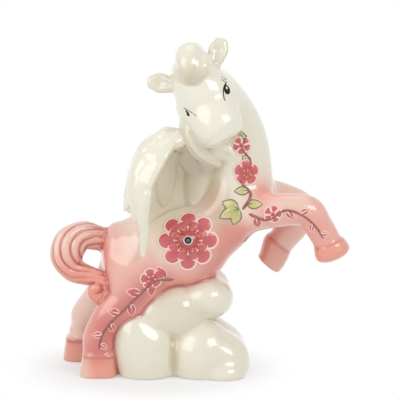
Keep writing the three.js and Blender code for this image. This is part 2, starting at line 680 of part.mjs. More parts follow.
const figurine = new THREE.Group();
figurine.add(
  piece("cloud_base", baseCast, CLOUD),
  piece("cloud_cushion", cushionCast, CLOUD),
  piece("torso", torsoCast, ROSE),
  piece("neck", neckCast, IVORY),
  piece("head", headCast, IVORY),
  piece("ear_right", earCast(-1), IVORY),
  piece("ear_left", earCast(1), IVORY),
  piece("forelock", forelockCast, IVORY),
  piece("mane", maneCast, IVORY),
  piece("wing_right", wingCast(RIGHT), IVORY),
  piece("wing_left", wingCast(LEFT), IVORY),
  piece("foreleg_right", foreLegCast(RIGHT), PINK),
  piece("foreleg_left", foreLegCast(LEFT), PINK),
  piece("hindleg_right", hindLegCast(RIGHT), PINK),
  piece("hindleg_left", hindLegCast(LEFT), PINK),
  piece("tail", tailCast, PINK),
  piece("flank_rosette", rosette(), CRIMSON),
  piece("crystal_cup", crystalCup(), SILVER),
  piece("crystal", crystal(), STONE),
);

// The origin is under the middle of the figure, on the ground.
const extent = new THREE.Box3().setFromObject(figurine, true);
const middle = extent.getCenter(new THREE.Vector3());
for (const mesh of figurine.children) mesh.geometry.translate(-middle.x, -middle.y, 0);

export default figurine;
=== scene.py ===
"""Rearing winged horse in glazed porcelain, painted with raised enamel flowers, seated on a bank of clouds.

Shapes are worked out in millimetres in the castings' own frame: the horse faces +X, its right side faces -Y,
the middle of the torso is at Y = 0 and the figure stands on Z = 0. Pieces are made by lofting each casting,
turning it into a field of signed distances, blending the fields with soft fillets as wet slip does, and
skinning the result.
"""
import math

import bpy
import numpy as np
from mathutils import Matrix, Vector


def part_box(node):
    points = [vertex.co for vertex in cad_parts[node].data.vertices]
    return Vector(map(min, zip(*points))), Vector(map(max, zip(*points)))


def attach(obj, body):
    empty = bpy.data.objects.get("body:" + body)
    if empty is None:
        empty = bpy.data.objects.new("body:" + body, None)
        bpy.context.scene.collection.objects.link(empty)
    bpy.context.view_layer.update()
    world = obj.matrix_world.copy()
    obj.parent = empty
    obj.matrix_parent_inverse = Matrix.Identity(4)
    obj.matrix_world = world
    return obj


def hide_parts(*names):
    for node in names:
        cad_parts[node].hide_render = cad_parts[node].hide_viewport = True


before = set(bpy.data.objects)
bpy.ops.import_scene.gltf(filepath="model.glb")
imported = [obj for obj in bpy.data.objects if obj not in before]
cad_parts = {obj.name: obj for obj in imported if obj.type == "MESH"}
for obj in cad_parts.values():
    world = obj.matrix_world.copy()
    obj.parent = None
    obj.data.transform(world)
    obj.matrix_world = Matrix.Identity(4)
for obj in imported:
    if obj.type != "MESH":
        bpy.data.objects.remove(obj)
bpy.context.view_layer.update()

import openvdb
from mathutils import Vector

MM = 0.001
COARSE = 1.0
BAND = 6.0  # distances are exact up to this far from a surface, in mm, and fillets are smaller than this
WIDE_BAND = 12.0  # the same for the body, which has the widest fillets
TINY = 1e-9  # shortest length that is divided by
NOT_ZERO = 1e-6  # keeps a divisor from being zero
SAME_KNOT = 1e-4  # knots of a curve that are closer than this count as one
LAST_CELL = 1.001  # keeps a sample inside the last voxel of a grid

# Anchors of the castings
RUMP = np.array([-41.0, 0.0, 61.0])
CHEST = np.array([19.0, 0.0, 84.0])
POLL = np.array([2.5, -4.0, 153.0])
NECK_RISE = POLL[2] - CHEST[2]
RIGHT, LEFT = SIDES = -1, 1
CRYSTAL = np.array([-5.934, -22.9, 71.1])  # middle of the crystal

# The frame stands the figure's middle over the origin, so its castings are shifted along the ground.
torso_low, torso_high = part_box("torso")
crystal_low, crystal_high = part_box("crystal")
SHIFT = np.array([
    (crystal_low[0] + crystal_high[0]) / 2 - CRYSTAL[0] * MM,
    (torso_low[1] + torso_high[1]) / 2,
    0.0,
])

# View of the photograph
PIXELS = 400
MM_PER_PIXEL = 0.5
VIEW_ELEVATION = math.radians(12)
GROUND_ROW = 369.4  # image row of the point (0, 0, 0)
CAMERA_DISTANCE = 3.0
VIEW_DIRECTION = np.array([0.0, math.cos(VIEW_ELEVATION), -math.sin(VIEW_ELEVATION)])
VIEW_UP = np.array([0.0, math.sin(VIEW_ELEVATION), math.cos(VIEW_ELEVATION)])


def in_scene(points):
    """Castings' millimetres to the frame's metres."""
    return np.asarray(points, float) * MM + SHIFT


def smooth(low, high, value):
    """Soft step from 0 at `low` to 1 at `high`."""
    share = np.clip((np.asarray(value, float) - low) / (high - low), 0, 1)
    return share * share * (3 - 2 * share)


def unit(vectors):
    """Vectors scaled to a length of 1."""
    return vectors / np.maximum(np.linalg.norm(vectors, axis=-1, keepdims=True), TINY)


def circle(sides):
    """Angles spaced evenly round a circle."""
    return 2 * math.pi * np.arange(sides) / sides


def round_point(angle, radius):
    """The flat point at an angle and a distance from the middle."""
    return radius * np.array([math.cos(angle), math.sin(angle)])


# Lofts

def spline(knots, t):
    """Centripetal Catmull-Rom curve: points and travel at each t from 0 to 1.

    The knots are one list of points, or one list for each t.
    """
    knots = np.asarray(knots, float)
    t = np.clip(np.atleast_1d(np.asarray(t, float)), 0, 1)
    if knots.ndim == 2:
        knots = np.repeat(knots[:, None, :], len(t), axis=1)
    padded = np.concatenate([[2 * knots[0] - knots[1]], knots, [2 * knots[-1] - knots[-2]]])
    place = t * (len(knots) - 1)
    span = np.minimum(place.astype(int), len(knots) - 2)
    w = (place - span)[:, None]
    column = np.arange(len(t))
    p0, p1, p2, p3 = (padded[span + k, column] for k in range(4))
    d0, d1, d2 = (np.sqrt(np.linalg.norm(b - a, axis=1))[:, None] for a, b in ((p0, p1), (p1, p2), (p2, p3)))
    d1 = np.where(d1 < SAME_KNOT, 1.0, d1)
    d0 = np.where(d0 < SAME_KNOT, d1, d0)
    d2 = np.where(d2 < SAME_KNOT, d1, d2)
    m1 = ((p1 - p0) / d0 - (p2 - p0) / (d0 + d1) + (p2 - p1) / d1) * d1
    m2 = ((p2 - p1) / d1 - (p3 - p1) / (d1 + d2) + (p3 - p2) / d2) * d1
    c2 = 3 * (p2 - p1) - 2 * m1 - m2
    c3 = 2 * (p1 - p2) + m1 + m2
    travel = m1 + w * (2 * c2 + 3 * w * c3)
    return p1 + w * (m1 + w * (c2 + w * c3)), unit(travel)


def flat_spline(knots, t):
    """The same curve through flat knots: flat points and travel."""
    padded = np.pad(np.asarray(knots, float), ((0, 0), (0, 1)))
    return [v[:, :2] for v in spline(padded, t)]


def tube_faces(rings, sides):
    """Triangles of a closed tube: a tip, rings of points, and a tip."""
    ring, side = np.meshgrid(np.arange(rings - 1), np.arange(sides), indexing="ij")
    a = 1 + ring * sides + side
    b = 1 + ring * sides + (side + 1) % sides
    walls = np.concatenate([np.stack([a, b, a + sides], -1), np.stack([b, b + sides, a + sides], -1)])
    s = np.arange(sides)
    n = (s + 1) % sides
    last = 1 + (rings - 1) * sides
    first_cap = np.stack([np.zeros_like(s), 1 + n, 1 + s], -1)
    last_cap = np.stack([np.full_like(s, last + sides), last + s, last + n], -1)
    return np.concatenate([walls.reshape(-1, 3), first_cap, last_cap]).astype(np.int32)


def capped(rings):
    """A closed skin over rings of points, with a tip at the middle of each end ring."""
    points = np.concatenate([[rings[0].mean(0)], rings.reshape(-1, 3), [rings[-1].mean(0)]])
    return points, tube_faces(*rings.shape[:2])


def loft(stations, across=(0, 1, 0), caps=(0, 0), sides=48, steps=72, flute=None, square=2.0):
    """Closed skin through stations of x, y, z, half width along `across` and half depth.

    A cap is the height of the dome on that end. `flute` scales the section by angle and t, and `square` is
    the exponent of a squarer section.
    """
    stations = np.asarray(stations, float)
    dome = np.linspace(0, math.pi / 2, 9)[1:-1]
    t = np.concatenate([np.zeros(len(dome)), np.linspace(0, 1, steps), np.ones(len(dome))])
    slide = np.concatenate([-caps[0] * np.sin(dome[::-1]), np.zeros(steps), caps[1] * np.sin(dome)])
    scale = np.concatenate([np.cos(dome[::-1]), np.ones(steps), np.cos(dome)])
    if caps[0] == 0:
        scale[:len(dome)] = np.linspace(0.1, 0.95, len(dome))
    if caps[1] == 0:
        scale[-len(dome):] = np.linspace(0.95, 0.1, len(dome))
    centre, travel = spline(stations[:, :3], t)
    size = flat_spline(stations[:, 3:5], t)[0]
    across = np.asarray(across, float)
    side = unit(across - (travel @ across)[:, None] * travel)
    depth = np.cross(travel, side)
    centre = centre + travel * slide[:, None]
    angle = circle(sides)
    c, s = np.cos(angle), np.sin(angle)
    c, s = (np.sign(v) * np.abs(v) ** (2 / square) for v in (c, s))
    swell = scale[:, None] * (flute(angle[None, :], t[:, None]) if flute else np.ones((len(t), sides)))
    rings = (centre[:, None] + side[:, None] * (size[:, :1] * swell * c)[..., None]
             + depth[:, None] * (size[:, 1:2] * swell * s)[..., None])
    tips = [centre[0] - travel[0] * (caps[0] - caps[0] * math.sin(dome[-1])),
            centre[-1] + travel[-1] * (caps[1] - caps[1] * math.sin(dome[-1]))]
    points = np.concatenate([tips[:1], rings.reshape(-1, 3), tips[1:]])
    return points, tube_faces(len(t), sides)


# Fields of signed distances

class Grid:
    """A box of voxels, in mm."""

    def __init__(self, low, high, voxel, band=BAND):
        self.voxel = voxel * COARSE
        self.band = band
        self.low = np.asarray(low, float)
        self.shape = tuple(int(n) for n in np.ceil((np.asarray(high, float) - self.low) / self.voxel) + 1)

    def axes(self):
        return [self.low[k] + self.voxel * np.arange(self.shape[k]) for k in range(3)]

    def sample(self, values, points):
        """The field's values at points, interpolated."""
        place = np.clip((points - self.low) / self.voxel, 0, np.array(self.shape) - LAST_CELL)
        cell = place.astype(int)
        w = place - cell
        total = 0
        for corner in np.ndindex(2, 2, 2):
            weight = np.prod(np.where(np.array(corner) == 1, w, 1 - w), axis=1)
            i, j, k = (cell + corner).T
            total = total + weight * values[i, j, k]
        return total

    def gradient(self, values, points):
        """The field's unit gradient at points."""
        step = np.eye(3) * self.voxel
        slope = np.stack([self.sample(values, points + s) - self.sample(values, points - s) for s in step], 1)
        return unit(slope)

    def resample(self, values, other):
        """The field on another grid's voxels. Outside this grid it is far outside the surface."""
        result = values
        for k in range(3):
            place = (other.axes()[k] - self.low[k]) / self.voxel
            clipped = np.clip(place, 0, self.shape[k] - LAST_CELL)
            cell = clipped.astype(int)
            w = (clipped - cell).astype(np.float32)
            w = w.reshape([-1 if a == k else 1 for a in range(3)])
            result = np.take(result, cell, axis=k) * (1 - w) + np.take(result, cell + 1, axis=k) * w
        return result

    def distance(self, shape):
        """Signed distance to a closed skin."""
        points, triangles = shape
        level = openvdb.FloatGrid.createLevelSetFromPolygons(
            (points - self.low) / self.voxel, triangles=triangles, halfWidth=self.band / self.voxel)
        values = np.empty(self.shape, np.float32)
        level.copyToArray(values)
        return values * self.voxel

    def union(self, shapes, radius):
        """Signed distance to several closed skins, with fillets between them."""
        return blend_all([self.distance(shape) for shape in shapes], radius)

    def ellipsoid(self, centre, radii):
        """Signed distance to an ellipsoid, exact at its surface."""
        x, y, z = np.meshgrid(*self.axes(), indexing="ij", sparse=True)
        parts = [(a - c) / r for a, c, r in zip((x, y, z), centre, radii)]
        near = np.sqrt(sum(p * p for p in parts)) + NOT_ZERO
        steep = np.sqrt(sum((p / r) ** 2 for p, r in zip(parts, radii))) + NOT_ZERO
        return (near * (near - 1) / steep).astype(np.float32)

    def blur(self, values, sigma):
        """Gaussian blur, sigma in mm."""
        width = sigma / self.voxel
        reach = max(1, int(round(2.5 * width)))
        weights = np.exp(-0.5 * (np.arange(-reach, reach + 1) / width) ** 2)
        weights = (weights / weights.sum()).astype(np.float32)
        for axis in range(3):
            padded = np.pad(values, [(reach, reach) if a == axis else (0, 0) for a in range(3)], mode="edge")
            count = values.shape[axis]
            window = [slice(None)] * 3
            values = np.zeros_like(values)
            for k, weight in enumerate(weights):
                window[axis] = slice(k, k + count)
                values += weight * padded[tuple(window)]
        return values


def blend(a, b, radius):
    """Union of two fields with a fillet."""
    near = np.maximum(radius - np.abs(a - b), 0) / radius
    return np.minimum(a, b) - near * near * radius / 4


def blend_all(fields, radius):
    total = fields[0]
    for field in fields[1:]:
        total = blend(total, field, radius)
    return total


def carve(a, b, radius):
    """The first field less the second, with a soft edge."""
    return -blend(-a, b, radius)


SKIN_DEPTH = 0.12  # how far a fillet dives under the surface that it runs out on
ROOT_DEPTH = 1.2  # how far a rooted piece reaches inside its carrier
FILLET_MARGIN = 0.5  # a fillet ends this far beyond its radius


def rooted(piece, carrier, radius):
    """A piece with a fillet that runs out on its carrier, and cut away inside it."""
    joined = blend(piece, carrier + SKIN_DEPTH, radius)
    joined = np.maximum(joined, -(carrier + ROOT_DEPTH))
    return np.maximum(joined, piece - radius - FILLET_MARGIN)


def above_ground(grid, values):
    z = grid.axes()[2].astype(np.float32)
    return np.maximum(values, -z[None, None, :])


def skin(name, grid, values, material, slot, nodes, paint=None, hollow=2.2, hollow_gain=1.0):
    """Skins a field as a mesh piece that stands for CAD nodes, and paints it.

    Its glaze has four masks: pink, peach, rose and shade, which is painted shade, as strong as the piece is
    hollow there.
    """
    level = openvdb.FloatGrid(BAND)
    level.copyFromArray(np.ascontiguousarray(np.clip(values, -BAND, BAND), dtype=np.float32))
    points, quads = level.convertToQuads(isovalue=0.0)[:2]
    points, normals = Surface(grid, values).settle(grid.low + points.astype(float) * grid.voxel)
    quads = quads[:, ::-1] if turned_in(points, quads, normals) else quads
    softened = grid.blur(values, hollow)
    shade = np.clip((grid.sample(values, points) - grid.sample(softened, points)) * hollow_gain, 0, 1)
    masks = {"shade": shade, **{key: np.zeros(len(points)) for key in ("pink", "peach", "rose")}}
    if paint:
        masks.update(paint(points, masks))
    make_piece(name, points, quads, normals, masks, material, slot, nodes)


def turned_in(points, faces, normals):
    corners = points[faces[:, :3]]
    face_normals = np.cross(corners[:, 1] - corners[:, 0], corners[:, 2] - corners[:, 0])
    return np.sum(face_normals * normals[faces[:, 0]]) < 0


def make_piece(name, points, faces, normals, masks, material, slot, nodes):
    """A smooth mesh piece that stands for CAD nodes. All its faces have the same number of corners."""
    faces = np.asarray(faces, np.int32)
    mesh = bpy.data.meshes.new(name)
    mesh.vertices.add(len(points))
    mesh.vertices.foreach_set("co", in_scene(points).astype(np.float32).ravel())
    mesh.loops.add(faces.size)
    mesh.loops.foreach_set("vertex_index", faces.ravel())
    mesh.polygons.add(len(faces))
    mesh.polygons.foreach_set("loop_start", np.arange(len(faces), dtype=np.int32) * faces.shape[1])
    mesh.update(calc_edges=True)
    mesh.polygons.foreach_set("use_smooth", np.ones(len(faces), bool))
    for key, values in masks.items():
        layer = mesh.attributes.new(key, "FLOAT", "POINT")
        layer.data.foreach_set("value", np.asarray(values, np.float32))
    if normals is not None:
        mesh.normals_split_custom_set_from_vertices(normals.astype(np.float32))
    mesh.materials.append(material)
    obj = bpy.data.objects.new(name, mesh)
    bpy.context.collection.objects.link(obj)
    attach(obj, "root")
    if nodes:
        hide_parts(*nodes)


# Castings

def placed(anchor, rows, rise=1.0):
    """Stations whose first three numbers are offsets from an anchor, heights in units of `rise`."""
    return [[anchor[0] + x, y, anchor[2] + z * rise, *sizes] for x, y, z, *sizes in rows]


def torso():
    rows = [
        [0, 0, 0, 14.5, 14],
        [10.8, 0, 0, 20, 18.5],
        [30, 0, 3.7, 21, 20.5],
        [46.8, 0, 12.2, 19, 17],
        [60, 0, 23, 16, 15],
    ]
    return loft(placed(RUMP, rows), caps=(8, 11), sides=96)


BELLY_SWELL = [RUMP + [36, -3, -0.5], [17, 17, 16]]  # centre and radii


def neck():
    rows = [
        [0, 0, 0.04, 16, 18],
        [0.5, 0, 0.2, 15, 16.5],
        [0.6, -1, 0.47, 12.5, 13.6],
        [-4.6, -2, 0.7, 11.3, 11.6],
        [-13.6, -3, 0.88, 10, 9.6],
        [-18.5, -4, 0.96, 9, 8],
    ]
    return loft(placed(CHEST, rows, NECK_RISE), caps=(8, 7), sides=72)


# The head's frame: X across the eyes, Y out of the forehead, Z from the poll to the muzzle.
NOSE = Vector((0.515, -0.283, -0.808)).normalized()
EYE_LINE = Vector((-0.115, -0.958, 0.263)).cross(NOSE).normalized()
HEAD_AXES = np.array([EYE_LINE, NOSE.cross(EYE_LINE).normalized(), NOSE])
HEAD_CENTRE = POLL + [1.2, -11, -12.5]
ACROSS_HEAD = (1, 0, 0)


def on_head(shape):
    points, triangles = shape
    return HEAD_CENTRE + points @ HEAD_AXES, triangles


def skull():
    stations = [
        [0, -2, -18, 9.5, 9.5],
        [0, 0, -11, 12.8, 12],
        [0, 0.2, -4, 14, 12],
        [-0.5, 0.1, 2.5, 13.2, 11.2],
        [-1.2, 1, 7.5, 12.6, 11],
        [-1.8, 1.7, 12, 12.6, 11.3],
        [-2.2, 2.1, 16.5, 12.4, 10.9],
        [-2.2, 2.1, 20, 10.6, 8.2],
    ]
    return on_head(loft(stations, ACROSS_HEAD, caps=(6, 3.5), sides=72))


def cheek(side):
    stations = [[side * 7 - 1.5, -5, z, 7.6, 8.5] for z in (-2, 2, 6)]
    return on_head(loft(stations, ACROSS_HEAD, caps=(5.5, 5.5)))


EAR_ROOTS = {RIGHT: np.array([10.3, 1.0, -14.7]), LEFT: np.array([11.6, 1.0, -13.2])}
EAR_DIRECTION = np.array(Vector((0.77, -0.07, -0.63)).normalized())
EAR_LENGTH = 13.0
EAR_HALF_WIDTH = 5.0


def ear_row(side, share, wide, deep, out=0.0):
    x, y, z = EAR_ROOTS[side] + EAR_DIRECTION * share * EAR_LENGTH
    return [side * x, y + out, z, wide, deep]


def ear_parts(side):
    """Flap of an ear, and the hollow scooped from its front."""
    across = (side * EAR_DIRECTION[2], 0, -EAR_DIRECTION[0])
    flap = [(-0.15, 3, 2.7), (0.25, EAR_HALF_WIDTH - 0.5, 2.7), (0.6, EAR_HALF_WIDTH, 2.4), (0.9, 3.5, 1.8)]
    hollow = [(0.25, 0.9, 1), (0.58, EAR_HALF_WIDTH - 2, 1.7), (0.86, 1.3, 0.8)]
    return [
        on_head(loft([ear_row(side, *row) for row in flap], across, caps=(1, 2))),
        on_head(loft([ear_row(side, *row, out=2.9) for row in hollow], across, caps=(2, 1.5))),
    ]


def forelock_lobes():
    """The big roll of hair over the poll and the lobes on both sides of it."""
    roll = [
        [3.6, -5, -16, 6, 6],
        [4.4, 2, -21, 7.2, 7],
        [3.9, 8, -21.9, 7.2, 6.8],
        [2, 12.5, -18.5, 6.2, 5.4],
        [0, 13.6, -14, 4.2, 3.8],
        [-0.6, 13, -11.4, 2.5, 2.2],
    ]
    brow_lobe = [
        [-1, -4, -14, 5, 5],
        [-2, 2, -18.4, 5.6, 5.6],
        [-2.4, 8, -16.8, 5, 4.6],
        [-1.8, 11.4, -12.6, 3, 2.8],
    ]
    side_lobe = [
        [8.2, 2, -15.4, 4, 4],
        [8.2, 8, -16, 4.9, 4.7],
        [6.6, 12, -13.8, 4.4, 4],
        [3.2, 13.2, -11.4, 3, 2.8],
        [1, 13, -10, 1.7, 1.6],
    ]
    return [on_head(loft(rows, ACROSS_HEAD, caps=(4, 2))) for rows in (roll, brow_lobe, side_lobe)]


MANE_LOCKS = [
    [[-20, -6, 0.86, 4], [-23.5, -9, 0.68, 5], [-23, -17.5, 0.565, 4.6], [-19.5, -19, 0.46, 4],
     [-14.5, -16.5, 0.385, 3], [-10, -14, 0.34, 1.8]],
    [[-20, -12, 0.62, 4.6], [-16, -14.5, 0.5, 4.2], [-11.5, -13.5, 0.43, 3], [-7, -12.5, 0.38, 1.6]],
    [[-15, -11, 0.62, 4], [-11.5, -13, 0.51, 3.4], [-7.5, -13, 0.46, 2.4], [-4, -12.8, 0.43, 1.2]],
    [[-17, -2, 0.82, 4], [-22, -3, 0.6, 5.4], [-21, -6, 0.46, 4.6]],
    [[-16, 3, 0.86, 4], [-21.5, 3, 0.66, 5.6], [-24, 4, 0.45, 5.8], [-19, 4, 0.26, 2.6]],
    [[-15, 6, 0.88, 4], [-19.5, 9, 0.7, 5.8], [-20, 12, 0.52, 5.8], [-12, 13.5, 0.36, 2.4]],
    [[-14, 7, 0.93, 3.5], [-15, 10.5, 0.79, 5.4], [-11, 12.5, 0.65, 4.6], [-4, 13, 0.54, 2.2]],
]
MANE_STRANDS = 5


def mane_locks():
    def flute(angle, t):
        return 1 + 0.09 * np.cos(MANE_STRANDS * angle + 3 * t) * smooth(0, 0.2, t)

    shapes = []
    for rows in MANE_LOCKS:
        stations = placed(CHEST, [[x, y, rise, size, size] for x, y, rise, size in rows], NECK_RISE)
        shapes.append(loft(stations, caps=(2.5, 2), flute=flute))
    return shapes


HIND_HOOF_HEIGHT = 11.5
HIND_RISE = RUMP[2] - HIND_HOOF_HEIGHT
HIND_LEGS = {
    RIGHT: [
        [11, -10, 0.83, 10, 15],
        [5, -11, 0.53, 9.5, 11.6],
        [-3, -12, 0.39, 8.4, 8.6],
        [-7.5, -12, 0.26, 7.4, 7.3],
        [-9.2, -11.5, 0.12, 7.6, 7.9],
        [-8.8, -11, -0.05, 7.1, 7.4],
    ],
    LEFT: [
        [7, 10, 0.83, 10, 15],
        [-2, 13.5, 0.58, 9, 11],
        [-10.5, 18, 0.38, 8, 8.4],
        [-16, 21.5, 0.22, 7.4, 7.7],
        [-17.2, 23, 0.12, 6.2, 6.3],
        [-17.6, 23.5, 0.06, 6.9, 6.9],
        [-17.8, 24, -0.05, 6.5, 6.5],
    ],
}


def hind_leg_stations(side):
    return placed([RUMP[0], 0, HIND_HOOF_HEIGHT], HIND_LEGS[side], HIND_RISE)


def hind_hoof(side):
    x, y = hind_leg_stations(side)[-1][:2]
    rows = [
        [x, y, 12.2, 6.9, 7.2],
        [x, y, 11.2, 8.2, 8.5],
        [x - 0.1, y, 9.6, 8.1, 8.4],
        [x - 0.4, y, 5, 8.4, 8.8],
        [x - 0.8, y, -2, 8.8, 9.2],
    ]
    return loft(rows, square=3.0, caps=(1, 0))


FORE_LEGS = {
    RIGHT: [
        [5, -11, -1, 8.8, 9],
        [17, -13.5, 0, 8, 8.2],
        [27, -15, 1, 7.4, 7.6],
        [34.5, -15.5, 0, 7.1, 7.5],
        [39.5, -15.5, -7, 6.6, 6.8],
        [44, -15.5, -15, 6.4, 6.6],
        [45, -15.5, -18, 6.2, 6.4],
    ],
    LEFT: [
        [9, 11, 3, 8.6, 9],
        [22, 14, 0.5, 7.3, 7.4],
        [31.5, 15, -5, 7.1, 7.2],
        [29.5, 15, -12, 6.6, 6.8],
        [24, 15, -18.5, 6.4, 6.8],
        [18.7, 15, -25, 6.2, 6.4],
    ],
}
FORE_HOOVES = {
    RIGHT: [[44.6, -15.5, -15.3, 6.4, 6.7], [45, -15.5, -16.4, 7.3, 7.7], [46.6, -15.5, -20.4, 8, 8.7]],
    LEFT: [[20.4, 15, -22.3, 5.9, 6.2], [19.8, 15, -23, 6.9, 7.1], [18.4, 15, -27.5, 6.8, 7],
           [16.9, 15, -31, 6.4, 6.5], [15.2, 15, -33, 6.2, 6.4]],
}


def fore_leg_stations(side):
    return placed(CHEST, FORE_LEGS[side])


def fore_hoof_stations(side):
    return placed(CHEST, FORE_HOOVES[side])


def fore_hoof(side):
    return loft(fore_hoof_stations(side), square=2.2, caps=(0.6, 4 if side == RIGHT else 0.8))


TAIL_STRANDS = 9
TAIL_TWIST = 0.9  # turns of a strand round the tail
TAIL_LOOP = RUMP + [-15.6, 0, -1.6]
TAIL_CURL = RUMP + [-9.6, 0, -18]
TAIL_SIZES = [6.2, 7.1, 8.4, 8.1, 6.3, 5.1]


def tail_stations():
    def on_arc(centre, radius, degrees, y, size):
        angle = math.radians(degrees)
        return [centre[0] + radius * math.cos(angle), y, centre[2] + radius * math.sin(angle), size, size]

    stations = [[RUMP[0] + 1, 0, RUMP[2] + 3, 5, 5]]
    for share, size in zip(np.linspace(0, 1, 6), TAIL_SIZES):
        stations.append(on_arc(TAIL_LOOP, 9.4, 62 + 205 * share, -6 * share, size))
    for share in np.linspace(0, 1, 7):
        radius = 4.9 * (1 - 0.6 * share)
        stations.append(on_arc(TAIL_CURL, radius, 80 - 330 * share, -8.5 - 5 * share, 4.2 - 1.8 * share))
    return stations


def tail():
    def flute(angle, t):
        wave = np.cos(TAIL_STRANDS * angle + TAIL_TWIST * TAIL_STRANDS * 2 * math.pi * t)
        return 1 + 0.085 * (2 * np.sqrt(0.5 + 0.5 * wave) - 1.35)

    return loft(tail_stations(), caps=(3, 2), sides=144, steps=220, flute=flute)


# Wings: a cupped web through five ribs, an arm along its top, and rows of feathers outside and in

WING_RIBS = [
    [[-13, -5, 25], [-12, -6, 18], [-12, -7, 9], [-14, -9, -2]],
    [[-26, -6, 34], [-28, -4, 26], [-29, -4, 11], [-31, -8, -9]],
    [[-35.4, -11, 38.5], [-46.3, -12, 31], [-52, -14, 16], [-57, -16, 0]],
    [[-37.4, -17, 37.5], [-46.3, -23, 29], [-51.6, -27, 16], [-53.5, -25, 0.5]],
    [[-29.6, -18.4, 35.7], [-36, -27, 27], [-44, -31, 11], [-47.6, -24, -21.5]],
]
WING_CROWN = [[-25, -5, 34], [-28, -11, 36], [-31, -16, 36]]  # closes the top of the cup
# The longest feather is a blade along the front edge, of x, y, z, half width and half depth.
WING_BLADE = [
    [-44.5, -30.6, 12, 2, 2],
    [-47, -29.6, 2, 3.3, 2.3],
    [-46.4, -27.6, -8, 2.7, 2],
    [-47.2, -24, -20, 1.4, 1.4],
]
WING_TOP, WING_FOOT = 38.5, -21.5
WEB_OUTSIDE, WEB_INSIDE = 0.4, 1.5  # faces of the web, from the middle of the wing
LEFT_WING_SPREAD, LEFT_WING_DROP = 8.0, 8.5
FEATHER_RISE = 1.5
FEATHER_ROWS = [
    dict(count=5, first=0.1, last=0.8, start=0.2, end=1.0, half_width=7.6, lift=0.0),
    dict(count=4, first=0.2, last=0.94, start=0.1, end=0.62, half_width=7.8, lift=0.9),
    dict(count=3, first=0.3, last=0.9, start=0.03, end=0.36, half_width=7.8, lift=1.8),
    dict(count=4, first=0.2, last=0.8, start=0.12, end=0.5, half_width=6.0, lift=-2.6),
    dict(count=5, first=0.15, last=0.85, start=0.25, end=0.86, half_width=5.6, lift=-1.7),
]


def wing_place(side, points):
    """Points of the right wing, on the wing of either side. The left one opens wider and stands lower."""
    points = np.array(points, float)
    height = (points[..., 2] - WING_FOOT) / (WING_TOP - WING_FOOT) * (side == LEFT)
    x = CHEST[0] + points[..., 0]
    y = side * (LEFT_WING_SPREAD * height - points[..., 1])
    return np.stack([x, y, CHEST[2] + points[..., 2] - LEFT_WING_DROP * height], -1)


def wing_point(ribs, u, v):
    rows = np.stack([spline(rib, v)[0] for rib in ribs])
    return spline(rows, u)[0]


def wing_surface(ribs, side, u, v):
    """Points of the cup, their outward normals and the length of the cup per unit of u."""
    near = 0.02
    u, v = np.broadcast_arrays(np.clip(u, 0, 1), np.clip(v, 0, 1))
    u0, u1 = np.clip(u - near, 0, 1), np.clip(u + near, 0, 1)
    v0, v1 = np.clip(v - near, 0, 1), np.clip(v + near, 0, 1)
    round_cup = (wing_point(ribs, u1, v) - wing_point(ribs, u0, v)) / (u1 - u0)[:, None]
    down_cup = wing_point(ribs, u, v1) - wing_point(ribs, u, v0)
    normal = unit(-side * np.cross(down_cup, round_cup))
    return wing_point(ribs, u, v), normal, np.linalg.norm(round_cup, axis=1)


def wing_web(ribs, side, columns=56, rows=44):
    u = np.repeat(np.linspace(0, 1, columns)[:, None], rows, 1)
    v = np.linspace(0, 1, rows)[None, :] * (1 - 0.12 * smooth(0.35, 0.6, u))
    at, normal, _ = wing_surface(ribs, side, u.ravel(), v.ravel())
    outer = (at + normal * WEB_OUTSIDE).reshape(columns, rows, 3)
    inner = (at - normal * WEB_INSIDE).reshape(columns, rows, 3)
    return capped(np.concatenate([outer, inner[:, ::-1]], axis=1))


def feather(ribs, side, u, start, end, half_width, lift, stations=28, sides=24):
    share = np.linspace(0.01, 0.995, stations)
    v = start + (end - start) * share
    tip = np.sqrt(np.clip(1 - ((share - 0.55) / 0.45) ** 2, 0.002, 1))
    width = half_width * np.where(share > 0.55, tip, 0.6 + 0.73 * share)
    thin = 0.35 + 0.65 * width / half_width
    stretch = wing_surface(ribs, side, np.full(stations, u), v)[2]
    angle = circle(sides)
    a = np.cos(angle)[None, :]
    at, normal, _ = wing_surface(ribs, side, (u + a * (width / stretch)[:, None]).ravel(),
                                 np.repeat(v[:, None], sides, 1).ravel())
    shaft = 0.35 * np.exp(-(a / 0.12) ** 2) * (np.sin(angle) > 0)[None, :]
    rise = np.sin(angle)[None, :] * FEATHER_RISE * thin[:, None] + shaft * thin[:, None] - side * 0.35 * a
    return capped((at + normal * (lift + rise).ravel()[:, None]).reshape(stations, sides, 3))


def wing_shapes(side):
    """Web, arm and crown, and the feathers."""
    ribs = wing_place(side, WING_RIBS)
    arm = [[*rib[0], 4.6 - 0.5 * i, 4.6 - 0.5 * i] for i, rib in enumerate(ribs)]
    crown = [[*p, 4, 6] for p in wing_place(side, WING_CROWN)]
    front = [[*wing_place(side, row[:3]), *row[3:]] for row in WING_BLADE]
    feathers = [loft(front, (1, 0, 0), caps=(2, 1.5))]
    for row in FEATHER_ROWS:
        for u in np.linspace(row["first"], row["last"], row["count"]):
            feathers.append(feather(ribs, side, u, row["start"], row["end"], row["half_width"], row["lift"]))
    across = (0, 0.3, 1)
    shell = [wing_web(ribs, side), loft(arm, across, caps=(2, 1.5)), loft(crown, across, caps=(3, 2))]
    return shell, feathers


# Clouds: centre and radii of each puff

